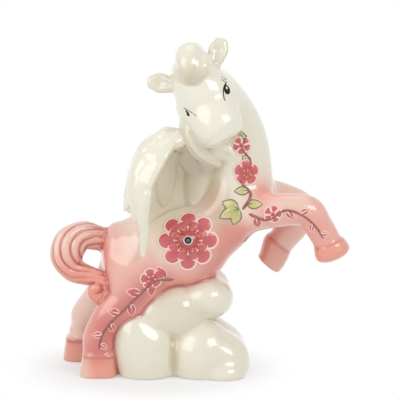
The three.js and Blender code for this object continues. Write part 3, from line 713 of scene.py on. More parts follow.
BELLY = RUMP[2] - 17
REAR_PUFFS = [
    [[14, -10, 10.5], [15.5, 14.5, 21]],
    [[11, 12, 10], [15, 15, 18.5]],
    [[28, 0, 12], [18, 14, 17]],
    [[9, -10.5, 18.5], [11, 12.5, 17]],
]
FRONT_PUFFS = [
    [[42.5, -10, 9], [16, 14.5, 19]],
    [[42, 11, 9], [16, 15, 18]],
    [[55, -9, 6.5], [10.8, 12.5, 13]],
    [[53, 5, 8.5], [11, 14, 13]],
]
FOOT_PUFF = [[53.5, -16.5, 1.5], [10, 9, 8]]  # a small puff low on the near side
LOWER_PUFFS = [*REAR_PUFFS, *FRONT_PUFFS, FOOT_PUFF]
CUSHION_PUFFS = [
    [[30, -6, BELLY - 12], [16, 15, 14.5]],
    [[44.8, -6.5, BELLY - 5.3], [12.8, 13.5, 11]],
    [[20, -10, BELLY - 13], [11, 10.5, 10.5]],
    [[28, 8, BELLY - 10], [16, 14, 15]],
    [[44, 8, BELLY - 5], [12, 12, 12.5]],
]


def puffs(grid, rows, radius):
    return blend_all([grid.ellipsoid([RUMP[0] + x, y, z], radii) for (x, y, z), radii in rows], radius)


# Glazes

def srgb(red, green, blue):
    """A colour given as 0 to 255 levels, as linear light."""
    levels = np.array([red, green, blue]) / 255
    linear = np.where(levels <= 0.04045, levels / 12.92, ((levels + 0.055) / 1.055) ** 2.4)
    return (*linear, 1.0)


CREAM = srgb(242, 238, 220)
SHADE_BEIGE = srgb(196, 176, 138)
PINK = srgb(241, 136, 122)
PEACH = srgb(239, 158, 136)
ROSE = srgb(190, 62, 58)


NOISE_LOW, NOISE_HIGH = 0.36, 0.7  # most of the noise lies between these
COAT_ROUGHNESS = 0.03


def set_inputs(node, values):
    """Sets constant values on a node's own sockets."""
    for key, value in values.items():
        node.inputs[key].default_value = value


class Nodes:
    """Short words for building a material's node tree."""

    def __init__(self, name):
        self.material = bpy.data.materials.new(name)
        self.material.use_nodes = True
        self.tree = self.material.node_tree
        self.shader = self.tree.nodes["Principled BSDF"]

    def add(self, kind, **settings):
        node = self.tree.nodes.new(kind)
        for key, value in settings.items():
            setattr(node, key, value)
        return node

    def link(self, source, target):
        self.tree.links.new(source, target)

    def mask(self, name):
        return self.add("ShaderNodeAttribute", attribute_name=name).outputs["Fac"]

    def noise(self, scale, detail=3.0, low=0.0, high=1.0):
        """Noise on the object's own coordinates, spread between two values."""
        place = self.add("ShaderNodeTexCoord").outputs["Object"]
        noise = self.add("ShaderNodeTexNoise")
        set_inputs(noise, {"Scale": scale, "Detail": detail})
        self.link(place, noise.inputs["Vector"])
        spread = self.add("ShaderNodeMapRange")
        set_inputs(spread, {"From Min": NOISE_LOW, "From Max": NOISE_HIGH, "To Min": low, "To Max": high})
        self.link(noise.outputs["Fac"], spread.inputs["Value"])
        return spread.outputs["Result"]

    def product(self, a, b):
        node = self.add("ShaderNodeMath", operation="MULTIPLY", use_clamp=True)
        self.link(a, node.inputs[0])
        self.link(b, node.inputs[1])
        return node.outputs[0]

    def mix(self, factor, a, b):
        """Colour a turning into colour b."""
        node = self.add("ShaderNodeMix", data_type="RGBA")
        self.link(factor, node.inputs["Factor"])
        for socket, value in ((node.inputs[6], a), (node.inputs[7], b)):
            if isinstance(value, tuple):
                socket.default_value = value
            else:
                self.link(value, socket)
        return node.outputs[2]

    def bump(self, height, strength, distance):
        node = self.add("ShaderNodeBump")
        set_inputs(node, {"Strength": strength, "Distance": distance})
        self.link(height, node.inputs["Height"])
        self.link(node.outputs["Normal"], self.shader.inputs["Normal"])

    def gloss(self, roughness, coat=1.0):
        set_inputs(self.shader, {
            "Roughness": roughness,
            "Coat Weight": coat,
            "Coat Roughness": COAT_ROUGHNESS,
        })


def glaze():
    """Clear glaze over ivory porcelain with airbrushed pink, peach and rose, and painted shade in beige, or
    in rose where it is pink.
    """
    n = Nodes("porcelain_glaze")
    cloudy = n.noise(35, low=0.82, high=1.0)
    pink = n.product(n.mask("pink"), cloudy)
    shade = n.mask("shade")
    colour = n.mix(pink, CREAM, PINK)
    shade_colour = n.mix(pink, SHADE_BEIGE, ROSE)
    colour = n.mix(n.product(n.mask("peach"), cloudy), colour, PEACH)
    # Painted shade, from the shade mask and its noise, over the base colour
    colour = n.mix(n.product(shade, n.noise(50, low=0.65, high=0.95)), colour, shade_colour)
    colour = n.mix(n.product(n.mask("rose"), n.noise(60, low=0.75, high=1.0)), colour, ROSE)
    n.link(colour, n.shader.inputs["Base Color"])
    n.gloss(0.22)
    n.bump(n.noise(120, 2.0), 0.04, 0.0004)
    return n.material


# Paint: soft sprays along polylines

def line_distance(points, line):
    """Distance of points from a polyline."""
    line = np.asarray(line, float)
    best = np.full(len(points), np.inf)
    for a, b in zip(line[:-1], line[1:]):
        run = b - a
        t = np.clip((points - a) @ run / (run @ run), 0, 1)
        best = np.minimum(best, np.linalg.norm(points - a - t[:, None] * run, axis=1))
    return best


def spray(points, passes):
    """Strongest of several sprays, each a polyline with a reach in mm and a strength."""
    total = np.zeros(len(points))
    for line, reach, strength in passes:
        total = np.maximum(total, strength * np.exp(-(line_distance(points, line) / reach) ** 2.5))
    return total


def puff_gap(points, rows):
    """Distance of points from the nearest puff of cloud."""
    gaps = []
    for (x, y, z), radii in rows:
        parts = (points - [RUMP[0] + x, y, z]) / radii
        near = np.linalg.norm(parts, axis=1)
        gaps.append(near * (near - 1) / np.linalg.norm(parts / radii, axis=1))
    return np.min(gaps, axis=0)


def tail_gap(points):
    """Distance of points from the tail, without its flutes."""
    rows = np.array(tail_stations())
    t = np.linspace(0, 1, 90)
    places = spline(rows[:, :3], t)[0]
    sizes = np.interp(t * (len(rows) - 1), np.arange(len(rows)), rows[:, 3])
    return np.min([np.linalg.norm(points - p, axis=1) - size for p, size in zip(places, sizes)], axis=0)


def seam_line(gap, reach):
    """1 along a seam, and 0 beyond its reach."""
    return np.exp(-(np.maximum(gap, 0) / reach) ** 4)


def wing_hollow(side):
    return np.array([[-6, side * 10, 106], [-9, side * 14, 98], [-14, side * 16, 88]])


# Sprays on the body and the cushion: a line, its reach in mm and its strength
PINK_SPRAYS = [
    ([(-46, 0, 55), (-36, 0, 53)], 25, 1.0),  # rump
    ([(2, -14, 86), (12, -13, 84)], 9, 0.35),  # right shoulder
]
PAIRED_PINK_SPRAYS = [  # on the left side, and mirrored on the right
    ([(-14, 10, 46), (12, 8, 54), (26, 4, 70)], 19, 0.97),  # belly
    ([(31, 14, 92), (37, 16, 92)], 8, 0.9),  # root of the foreleg
    ([(10, 16, 68), (22, 14, 75)], 11, 0.9),  # side of the breast
]
FOREARM_HIGHLIGHT = [([(38, -22, 89), (50, -22, 89)], 5, 0.35)]  # painted highlight along the top of the right forearm
ROSE_SPRAYS = [
    ([(-22, -21, 49), (-37, -21, 36), (-46, -19, 26), (-50, -19, 15)], 8, 0.72),  # right haunch and leg
    ([(33, -21, 82), (46, -23, 85), (57, -22, 78), (61, -22, 72)], 4, 0.15),  # right foreleg, painted shadow of the raised stem
    ([(4, -12, 58), (12, -10, 64), (20, -8, 70)], 9, 0.62),  # painted shade low on the breast
]
SHADE_SPRAYS = [
    ([(10, -17, 80), (9, -17, 90), (4, -14, 98)], 8, 0.75),  # right shoulder
    ([(22, -12, 104), (20, -12, 124), (12, -10, 138)], 12, 0.22),  # neck
]
# Painted shade on the cushion under the belly
CUSHION_SHADE_SPRAYS = [([(-18, -20, 36), (-4, -20, 32)], 11, 0.4)]  # under the belly
HIND_HOOF_REACH, FORE_HOOF_REACH = 14, 12  # the paint of a hoof stays this near its leg


def paint_body(points, masks):
    legs, arms, hooves = (
        {side: np.array(stations(side))[:, :3] for side in SIDES}
        for stations in (hind_leg_stations, fore_leg_stations, fore_hoof_stations)
    )
    passes = [
        (arms[RIGHT][1:], 15, 0.95),
        (arms[LEFT][1:], 15, 0.65),
        (legs[RIGHT], 18, 1.0),
        (legs[LEFT], 15, 0.55),
        *PINK_SPRAYS,
    ]
    for route, reach, strength in PAIRED_PINK_SPRAYS:
        passes += [(np.array(route) * [1, side, 1], reach, strength) for side in SIDES]
    # Painted highlight: the pink is paler along the top of the right forearm
    pink = spray(points, passes) * (1 - spray(points, FOREARM_HIGHLIGHT))
    x, y, z = points.T
    near = np.minimum(*(line_distance(points, leg) for leg in legs.values())) < HIND_HOOF_REACH
    hoof = smooth(HIND_HOOF_HEIGHT + 0.4, HIND_HOOF_HEIGHT - 0.4, z) * near
    coronet = 0.75 * np.exp(-((z - HIND_HOOF_HEIGHT + 1.0) / 1.3) ** 2) * near
    for side, strength in ((RIGHT, 1.0), (LEFT, 0.6)):
        top, rim = hooves[side][:2]
        along = (points - top) @ unit(rim - top)
        near = line_distance(points, hooves[side]) < FORE_HOOF_REACH
        fore = strength * smooth(-0.4, 0.6, along) * near
        hoof = np.maximum(hoof, fore)
        pink = np.maximum(pink, fore)
        coronet = np.maximum(coronet, 0.45 * np.exp(-(along / 0.9) ** 2) * near)
    seams = np.minimum(puff_gap(points, LOWER_PUFFS + CUSHION_PUFFS), tail_gap(points))
    rose = np.maximum(seam_line(seams, 1.9), 0.4 * np.exp(-(np.maximum(seams, 0) / 4) ** 2))
    rose = np.maximum(rose, spray(points, ROSE_SPRAYS))
    # Painted light: the rear facet of the right hind hoof is paler
    lit_facet = 1 - 0.55 * smooth(1.0, 7.5, legs[RIGHT][-1][0] - x) * (z < HIND_HOOF_HEIGHT) * (y < 0)
    # Painted shade in the pocket under each wing, above the top of the barrel, and on the right shoulder and
    # neck
    pocket_shade = [(wing_hollow(side), 16, 0.9) for side in SIDES]
    shade = np.maximum(masks["shade"], spray(points, pocket_shade) * smooth(86, 90, z))
    shade = np.maximum(shade, spray(points, SHADE_SPRAYS))
    return {"pink": pink * lit_facet, "peach": hoof * lit_facet, "shade": shade, "rose": np.maximum(rose, coronet)}


def painted_shade(masks, amount):
    """Painted shade at least this strong, and stronger in the hollows."""
    return {"shade": np.maximum(masks["shade"], amount)}


def paint_tail(points, masks):
    root = np.exp(-(np.linalg.norm(points - RUMP - [-6, 0, 6], axis=1) / 12) ** 2)
    grooves = masks["shade"]
    low = smooth(66, 46, points[:, 2])
    return {
        "pink": 0.42 + 0.48 * low,
        "peach": 0.1 + 0.8 * root + 0.6 * low,
        "rose": np.maximum(0.9 * grooves, 0.25 * root + 0.12 * low),
        "shade": 0 * grooves,
    }


def paint_forelock(points, masks):
    """Painted shade at the tip of the forelock."""
    tip = HEAD_CENTRE + np.array([0, 13.5, -12.5]) @ HEAD_AXES
    tip_shade = 0.85 * np.exp(-(np.linalg.norm(points - tip, axis=1) / 8) ** 2)
    return painted_shade(masks, tip_shade)


def paint_mane(points, masks):
    """Painted shade on the lock under the chin."""
    chin_lock = np.array(placed(CHEST, [[*row, 0] for row in MANE_LOCKS[0]], NECK_RISE))[1:, :3]
    return painted_shade(masks, spray(points, [(chin_lock, 8, 0.55)]))


def paint_cloud(points, masks):
    """Painted shade: a little all over the clouds, and more in their creases."""
    return painted_shade(masks, 0.14)


def paint_cushion(points, masks):
    """Painted shade on the cushion, under the belly."""
    return painted_shade(paint_cloud(points, masks), spray(points, CUSHION_SHADE_SPRAYS))


def paint_ear(points, masks):
    # Painted shade over the whole ear, deeper in its hollow, where it is also pink
    return {"shade": np.maximum(0.7 * masks["shade"], 0.3), "pink": 0.3 * masks["shade"]}


def wing_paint(side):
    """Painted shade in the hollow of a cupped wing."""
    def paint(points, masks):
        hollow = wing_hollow(side)
        return painted_shade(masks, spray(points, [(hollow[:2], 14, 0.2), (hollow[1:], 16, 0.88)]))

    return paint


# Raised enamel, laid on the skin of the body

FLANK_START, VIEW_START = 40.0, 60.0  # rays to the skin start this far out, in mm
CAST_STEPS = 70
CAST_SHARE = 0.85  # part of the gap that a ray crosses in one step
CAST_LEAST = 0.01  # shortest step of a ray, in mm
SUNK = 0.15  # how far the edge of an ornament lies under the skin


class Surface:
    """The skin of a field, to lay ornaments on."""

    def __init__(self, grid, values):
        self.grid = grid
        self.values = values

    def settle(self, points, rounds=3):
        """The nearest points of the skin, and their normals."""
        for _ in range(rounds):
            normals = self.grid.gradient(self.values, points)
            points = points - normals * self.grid.sample(self.values, points)[:, None]
        return points, self.grid.gradient(self.values, points)

    def cast(self, starts, direction):
        """Where rays first meet the skin, or come closest to it, and the normals there."""
        points = np.array(starts, float)
        direction = np.broadcast_to(np.asarray(direction, float), points.shape)
        nearest = points.copy()
        least = np.full(len(points), np.inf)
        for _ in range(CAST_STEPS):
            gap = self.grid.sample(self.values, points)
            closer = gap < least - CAST_LEAST
            nearest[closer] = points[closer]
            least = np.minimum(least, gap)
            points = points + direction * np.maximum(CAST_SHARE * gap, CAST_LEAST)[:, None]
        return self.settle(nearest)

    def on_flank(self, side, flat):
        """Points given by length and height, on the right or left of the horse."""
        flat = np.atleast_2d(np.asarray(flat, float))
        starts = np.stack([flat[:, 0], np.full(len(flat), side * FLANK_START), flat[:, 1]], -1)
        return self.cast(starts, (0, -side, 0))

    def seen(self, flat):
        """Points given across and up in the photograph's view, in mm."""
        flat = np.atleast_2d(np.asarray(flat, float))
        on_plane = flat[:, :1] * np.array([1.0, 0, 0]) + flat[:, 1:] * VIEW_UP
        eye = VIEW_UP * (GROUND_ROW - PIXELS / 2) * MM_PER_PIXEL - VIEW_DIRECTION * CAMERA_DISTANCE / MM
        rays = unit(on_plane - eye)
        return self.cast(on_plane - VIEW_START * rays, rays)

    def wrap(self, anchor, toward, flat, steps=8):
        """Lays flat points round an anchor, each along its own straight run over the skin.

        `toward` is the direction of the first flat axis.
        """
        flat = np.atleast_2d(np.asarray(flat, float))
        centre, normal = self.settle(np.array([anchor], float))
        first = unit(np.asarray(toward, float) - (normal[0] @ toward) * normal[0])
        second = np.cross(normal[0], first)
        reach = np.linalg.norm(flat, axis=1)[:, None]
        heading = (flat[:, :1] * first + flat[:, 1:] * second) / np.maximum(reach, NOT_ZERO)
        points = np.repeat(centre, len(flat), axis=0)
        normals = np.repeat(normal, len(flat), axis=0)
        for _ in range(steps):
            points, normals = self.settle(points + heading * reach / steps, 2)
            heading = unit(heading - np.sum(heading * normals, axis=1, keepdims=True) * normals)
        return points, normals

    def wrapper(self, anchor, toward=(1, 0, 0)):
        """A function that lays flat points round an anchor."""
        return lambda flat: self.wrap(anchor, toward, flat)


def tube_quads(rings, sides, closed=False):
    """Four-cornered faces of a tube with an even number of sides, capped unless it is closed on itself."""
    ring, side = np.meshgrid(np.arange(rings if closed else rings - 1), np.arange(sides), indexing="ij")
    a = ring * sides + side
    b = ring * sides + (side + 1) % sides
    total = rings * sides
    walls = np.stack([a, b, (b + sides) % total, (a + sides) % total], -1).reshape(-1, 4)
    if closed:
        return walls
    j = np.arange(sides // 2 - 1)
    cap = np.stack([j, j + 1, sides - 2 - j, sides - 1 - j], -1)
    return np.concatenate([walls, cap[:, ::-1], cap + total - sides])


class Ornament:
    """Closed bits of one enamel, gathered into one piece."""

    def __init__(self):
        self.points, self.faces, self.deep = [], [], []
        self.count = 0

    def add(self, points, faces, deep=0.5):
        a, b, c, d = (points[faces[:, k]] - points.mean(axis=0) for k in range(4))
        volume = np.sum(a * np.cross(b, c)) + np.sum(a * np.cross(c, d))
        self.points.append(points)
        self.faces.append((faces if volume > 0 else faces[:, ::-1]) + self.count)
        self.deep.append(np.broadcast_to(deep, len(points)))
        self.count += len(points)

    def finish(self, name, material, slot, nodes=()):
        points, faces, deep = (np.concatenate(bits) for bits in (self.points, self.faces, self.deep))
        make_piece(name, points, faces, None, {"deep": deep}, material, slot, nodes)


def petal_outline(s):
    """Half width along a petal: narrow at its foot and round at its tip."""
    tip = np.sqrt(np.clip(1 - ((s - 0.62) / 0.38) ** 2, 0, 1))
    return np.where(s > 0.62, tip, 0.3 + 0.7 * np.sin(math.pi / 2 * s / 0.62))


def leaf_outline(s):
    return np.sin(math.pi * s ** 0.85) ** 0.9


def eye_outline(s):
    return np.sin(math.pi * s ** 0.8) ** 0.7


def blade(lay, foot, tip, half_width, outline, rise, rows=17, columns=11):
    """A closed petal or leaf with a soft crown, and the points and normals round its sunk border."""
    s, t = np.meshgrid(np.linspace(0.005, 0.995, rows), np.linspace(-1, 1, columns), indexing="ij")
    foot = np.asarray(foot, float)
    run = np.asarray(tip, float) - foot
    side = unit(np.array([-run[1], run[0]]))
    flat = foot + s[..., None] * run + (half_width * outline(s) * t)[..., None] * side
    points, normals = lay(flat.reshape(-1, 2))
    crown = np.sqrt(1 - t * t) * np.sin(math.pi * s) ** 0.4 - 0.16 * np.exp(-(t / 0.14) ** 2)
    height = rise * crown - SUNK
    top = (points + normals * height.reshape(-1, 1)).reshape(rows, columns, 3)
    under = (points - normals * 0.5).reshape(rows, columns, 3)
    rings = np.concatenate([top, under[:, ::-1]], axis=1)
    tone = np.clip(1.15 - 1.1 * s - 0.25 * np.abs(t), 0, 1)
    deep = np.concatenate([tone, tone[:, ::-1]], axis=1).ravel()
    points, normals = (v.reshape(rows, columns, 3) for v in (points, normals))
    border = [np.concatenate([v[:, 0], v[::-1, -1]]) for v in (points, normals)]
    return (rings.reshape(-1, 3), tube_quads(rows, 2 * columns), deep), border


def button(lay, centre, radius, rise, sides=24):
    """A closed round cushion."""
    dome = np.linspace(0, 1, 7) * math.pi / 2
    profile = [(radius * max(math.sin(a), 0.02), rise * math.cos(a) - SUNK) for a in dome]
    profile.append((radius * 0.1, -0.7))
    angle = circle(sides)
    ring = np.stack([np.cos(angle), np.sin(angle)], -1)
    flat = np.concatenate([np.asarray(centre, float) + r * ring for r, _ in profile])
    points, normals = lay(flat)
    height = np.repeat([h for _, h in profile], sides)
    return points + normals * height[:, None], tube_quads(len(profile), sides)


def line(points, normals, radius, closed=False, sides=8):
    """A round line that lies half sunk along points of the skin. Its ends taper unless it is closed."""
    count = len(points)
    ahead = np.roll(points, -1, axis=0)
    back = np.roll(points, 1, axis=0)
    taper = np.ones(count)
    if not closed:
        ahead[-1], back[0] = points[-1], points[0]
        place = np.arange(count)
        taper = np.clip(np.minimum(place + 0.6, count - 0.4 - place) / 3, 0, 1)
    travel = ahead - back
    across = unit(np.cross(travel, normals))
    angle = circle(sides)
    size = (np.asarray(radius) * taper)[:, None, None]
    rings = points[:, None] + size * (np.cos(angle)[:, None] * across[:, None]
                                      + np.sin(angle)[:, None] * normals[:, None])
    return rings.reshape(-1, 3), tube_quads(count, sides, closed)


FIRST_LEAF, LAST_LEAF = 0.08, 0.92  # shares of a stem
LEAF_TURN = 55  # degrees from a stem to its leaves


class Enamel:
    """Flowers, leaves, stems and lines of raised enamel on a surface, sorted by colour."""

    def __init__(self, surface):
        self.surface = surface
        self.bits = {name: Ornament() for name in ENAMEL_COLOURS}

    def outlined(self, colour, border_colour, border_radius, *shape):
        body, border = blade(*shape)
        self.bits[colour].add(*body)
        self.bits[border_colour].add(*line(*border, border_radius, closed=True))

    def stroke(self, colour, lay, knots, radii, steps=60):
        """A line through flat knots, with a radius for each end."""
        flat = flat_spline(knots, np.linspace(0, 1, steps))[0]
        self.bits[colour].add(*line(*lay(flat), np.linspace(*radii, steps)))

    def dots(self, lay, centres, radius):
        for centre in centres:
            self.bits["amber"].add(*button(lay, centre, radius, 1.1 * radius + SUNK, 12))

    def petals(self, lay, count, turn, ends, half_width, rise, border):
        """A ring of outlined petals. The ends are the distances of a petal's foot and tip from the middle."""
        for k in range(count):
            angle = turn + 2 * math.pi * k / count
            foot, tip = (round_point(angle, distance) for distance in ends)
            self.outlined("petal", "pale_line", border, lay, foot, tip, half_width, petal_outline, rise)

    def flower(self, side, place, radius, petals=5, turn=0.3):
        """A blossom on the flank: outlined petals round a cluster of amber dots."""
        lay = self.surface.wrapper(self.surface.on_flank(side, place)[0][0])
        half_width = 0.8 * radius * math.sin(math.pi / petals)
        self.petals(lay, petals, turn, (0.12 * radius, radius), half_width, 0.14 * radius, 0.46)
        self.bits["petal"].add(*button(lay, (0, 0), 0.3 * radius, 0.2 * radius), 1.0)
        self.dots(lay, [round_point(angle, 0.24 * radius) for angle in circle(5)], 0.1 * radius + 0.12)

    def leaf(self, side, place, degrees, length, half_width, colour="leaf", border="green_line"):
        """A leaf with an outline and a rib."""
        angle = math.radians(degrees)
        anchor = self.surface.on_flank(side, place)[0][0]
        lay = self.surface.wrapper(anchor, (math.cos(angle), 0, math.sin(angle)))
        foot, tip = (0, 0), (length, 0)
        self.outlined(colour, border, 0.26, lay, foot, tip, half_width, leaf_outline, 0.3 * half_width)
        self.stroke(border, lay, [foot, (0.5 * length, 0.1), (0.85 * length, 0)], (0.55, 0.3), 20)

    def sprig(self, side, knots, radii, leaves, lengths, **look):
        """A stem with leaves by turns on both sides of it. Their lengths go from the first to the last."""
        self.stroke("stem", lambda flat: self.surface.on_flank(side, flat), knots, radii, 90)
        for k, t in enumerate(np.linspace(FIRST_LEAF, LAST_LEAF, leaves)):
            place, travel = (v[0] for v in flat_spline(knots, t))
            heading = math.degrees(math.atan2(travel[1], travel[0])) + (LEAF_TURN if k % 2 else -LEAF_TURN)
            length = lengths[0] + (lengths[1] - lengths[0]) * t
            self.leaf(side, place, heading, length, 0.3 * length, **look)


ENAMEL_COLOURS = {
    "petal": (srgb(220, 104, 106), srgb(174, 48, 62)),
    "pale_line": (srgb(252, 222, 212), srgb(248, 202, 192)),
    "amber": (srgb(244, 160, 84), srgb(226, 112, 52)),
    "leaf": (srgb(222, 212, 150), srgb(184, 176, 96)),
    "green_line": (srgb(84, 112, 80), srgb(52, 80, 54)),
    "stem": (srgb(166, 82, 74), srgb(126, 50, 46)),
    "eye_black": (srgb(40, 32, 28), srgb(22, 17, 15)),
    # the glint is painted: a white spot on each dark eye
    "eye_glint": (srgb(252, 252, 250), srgb(240, 240, 236)),
}


def enamel_material(name, light_colour, deep_colour):
    n = Nodes(name + "_enamel")
    tone = n.product(n.mask("deep"), n.noise(420, low=0.7, high=1.0))
    n.link(n.mix(tone, light_colour, deep_colour), n.shader.inputs["Base Color"])
    # The dark of the eyes is matte, and their glints are painted
    if name == "eye_black":
        n.gloss(0.4, coat=0.0)
        set_inputs(n.shader, {"Specular IOR Level": 0.15})
    else:
        n.gloss(0.25)
    n.bump(n.noise(700, 2.0), 0.08, 0.0002)
    return n.material


ROSETTE_PETALS = 8


def rosette(work, surface):
    """A double daisy of two rings of petals round the crystal, with a ring of amber dots between them."""
    anchor = surface.settle(CRYSTAL[None, :])[0][0]
    lay = surface.wrapper(anchor)
    work.petals(lay, ROSETTE_PETALS, 0.0, (4.5, 15.0), 4.1, 1.0, 0.68)
    work.petals(lay, ROSETTE_PETALS, math.pi / ROSETTE_PETALS, (2.5, 10.4), 2.4, 1.7, 0.68)
    work.bits["petal"].add(*button(lay, (0, 0), 5.2, 2.1), 1.0)
    raised = Surface(surface.grid, surface.values - 1.5)
    top = raised.settle(anchor[None, :])[0][0]
    ring = [round_point(angle, 5.7) for angle in circle(2 * ROSETTE_PETALS)]
    work.dots(raised.wrapper(top), ring, 0.66)


# Eyes as the photograph's view shows them: middle across and up in mm, then offsets from it
NEAR_EYE = np.array([13.6, 140.0])
NEAR_LID = [
    (-0.4, 3.9), (-0.83, 2.8), (-1.6, 1.2), (-1.95, -0.75), (-1.85, -2.7), (-1.48, -4.65), (-0.95, -5.75),
]
NEAR_LASHES = [[(-0.3, 4.65), (-1.6, 5.65), (-3.3, 6.6)], [(-1.05, 3.8), (-1.9, 4.45), (-3.3, 5.1)]]
FAR_EYE = np.array([-6.25, 128.85])
FAR_LID = [(-1.9, 1.7), (-0.6, 1.2), (0.9, 0.2), (2.65, -0.75), (4.6, -2.4)]


def eyes(work, surface):
    def shape(colour, middle, foot, tip, half_width, rise):
        body, _ = blade(surface.seen, middle + foot, middle + tip, half_width, eye_outline, rise)
        work.bits[colour].add(*body)

    shape("eye_black", NEAR_EYE, (0.6, -2.75), (-0.85, 2.7), 1.75, 0.35)
    # Painted glint on the near eye
    shape("eye_glint", NEAR_EYE, (-0.1, -0.1), (-0.6, 1.5), 0.5, 0.75)
    work.stroke("eye_black", surface.seen, NEAR_EYE + NEAR_LID, (0.34, 0.24))
    for lash in NEAR_LASHES:
        work.stroke("eye_black", surface.seen, NEAR_EYE + lash, (0.2, 0.1), 16)
    shape("eye_black", FAR_EYE, (0.95, -2.55), (-1.1, 1.0), 0.85, 0.3)
    # Painted glint on the far eye
    shape("eye_glint", FAR_EYE, (-0.35, -1.5), (-1.2, 0.2), 0.4, 0.45)
    work.stroke("eye_black", surface.seen, FAR_EYE + FAR_LID, (0.24, 0.1))


# Places on the flanks, by length and height
NECK_SPRIG = [(21, 86), (25, 93), (20, 100), (25, 108), (21, 116), (23, 122)]
FORELEG_SPRIG = [(24, 84), (33, 81), (42, 86), (50, 84), (57, 78), (61, 72)]
HAUNCH_SPRIGS = {
    RIGHT: [(-13, 50), (-22, 50), (-30, 43), (-37, 36), (-44, 29), (-49, 21), (-50, 15)],
    LEFT: [(-14, 52), (-24, 48), (-36, 39), (-46, 29), (-53, 22)],
}
LEFT_BLOSSOM = np.array([-6, 72])


def build_enamel(surface):
    """A generic daisy pattern. Its left side can't be seen in the photograph and repeats its motifs."""
    work = Enamel(surface)
    rosette(work, surface)
    rose = dict(colour="petal", border="pale_line")
    for side in SIDES:
        work.sprig(side, NECK_SPRIG, (0.8, 0.5), 6, (8, 5))
        work.flower(side, (23, 103.5), 6.4)
        work.flower(side, (20.5, 117), 4.6, turn=0.9)
        for degrees, length in ((160, 9), (205, 11), (250, 9)):
            work.leaf(side, (19, 86.5), degrees, length, 2.9)
    work.sprig(RIGHT, FORELEG_SPRIG, (0.75, 0.45), 6, (7, 4), **rose)
    work.flower(RIGHT, (36, 84), 4.6, turn=0.1)
    work.sprig(RIGHT, HAUNCH_SPRIGS[RIGHT], (0.8, 0.5), 8, (8.5, 4.5), **rose)
    work.flower(RIGHT, (-24, 51), 5.6, turn=0.5)
    work.flower(LEFT, LEFT_BLOSSOM, 8.0, petals=8)
    for degrees in (20, 160, 200, 340):
        work.leaf(LEFT, LEFT_BLOSSOM + round_point(math.radians(degrees), 8.5), degrees, 9, 2.6)
    work.sprig(LEFT, HAUNCH_SPRIGS[LEFT], (0.8, 0.5), 6, (8, 4.5), **rose)
    eyes(work, surface)
    for name, ornament in work.bits.items():
        slot = "ivory_glaze" if name.startswith("eye") else "crimson_enamel"
        nodes = ["flank_rosette"] if name == "petal" else []
        ornament.finish("enamel_" + name, enamel_material(name, *ENAMEL_COLOURS[name]), slot, nodes)


# Assembly

# Fillets between castings, in mm
HIND_HOOF_FILLET, FORE_HOOF_FILLET = 0.7, 0.9
HEAD_FILLET = BELLY_FILLET = 5
NECK_FILLET, LIMB_FILLET, JOWL_FILLET = 8, 7, 10
HEAD_CREASE, JOWL_CREASE = 1.6, 1.5  # where the head meets the horse, and the jowl meets both
LOBE_FILLET, LOCK_FILLET = 2.2, 1.6  # between the parts of the forelock and of the mane
SHELL_FILLET, FEATHER_FILLET = 3, 0.8  # between the parts of a wing
EAR_EDGE = 1.4  # round the hollow of an ear
ROOT_FILLET, FORELOCK_FILLET, CLOUD_FILLET = 2, 2.4, 1.2  # round the foot of a smaller casting
BODY_BLUR, PIECE_BLUR = 0.5, 0.35


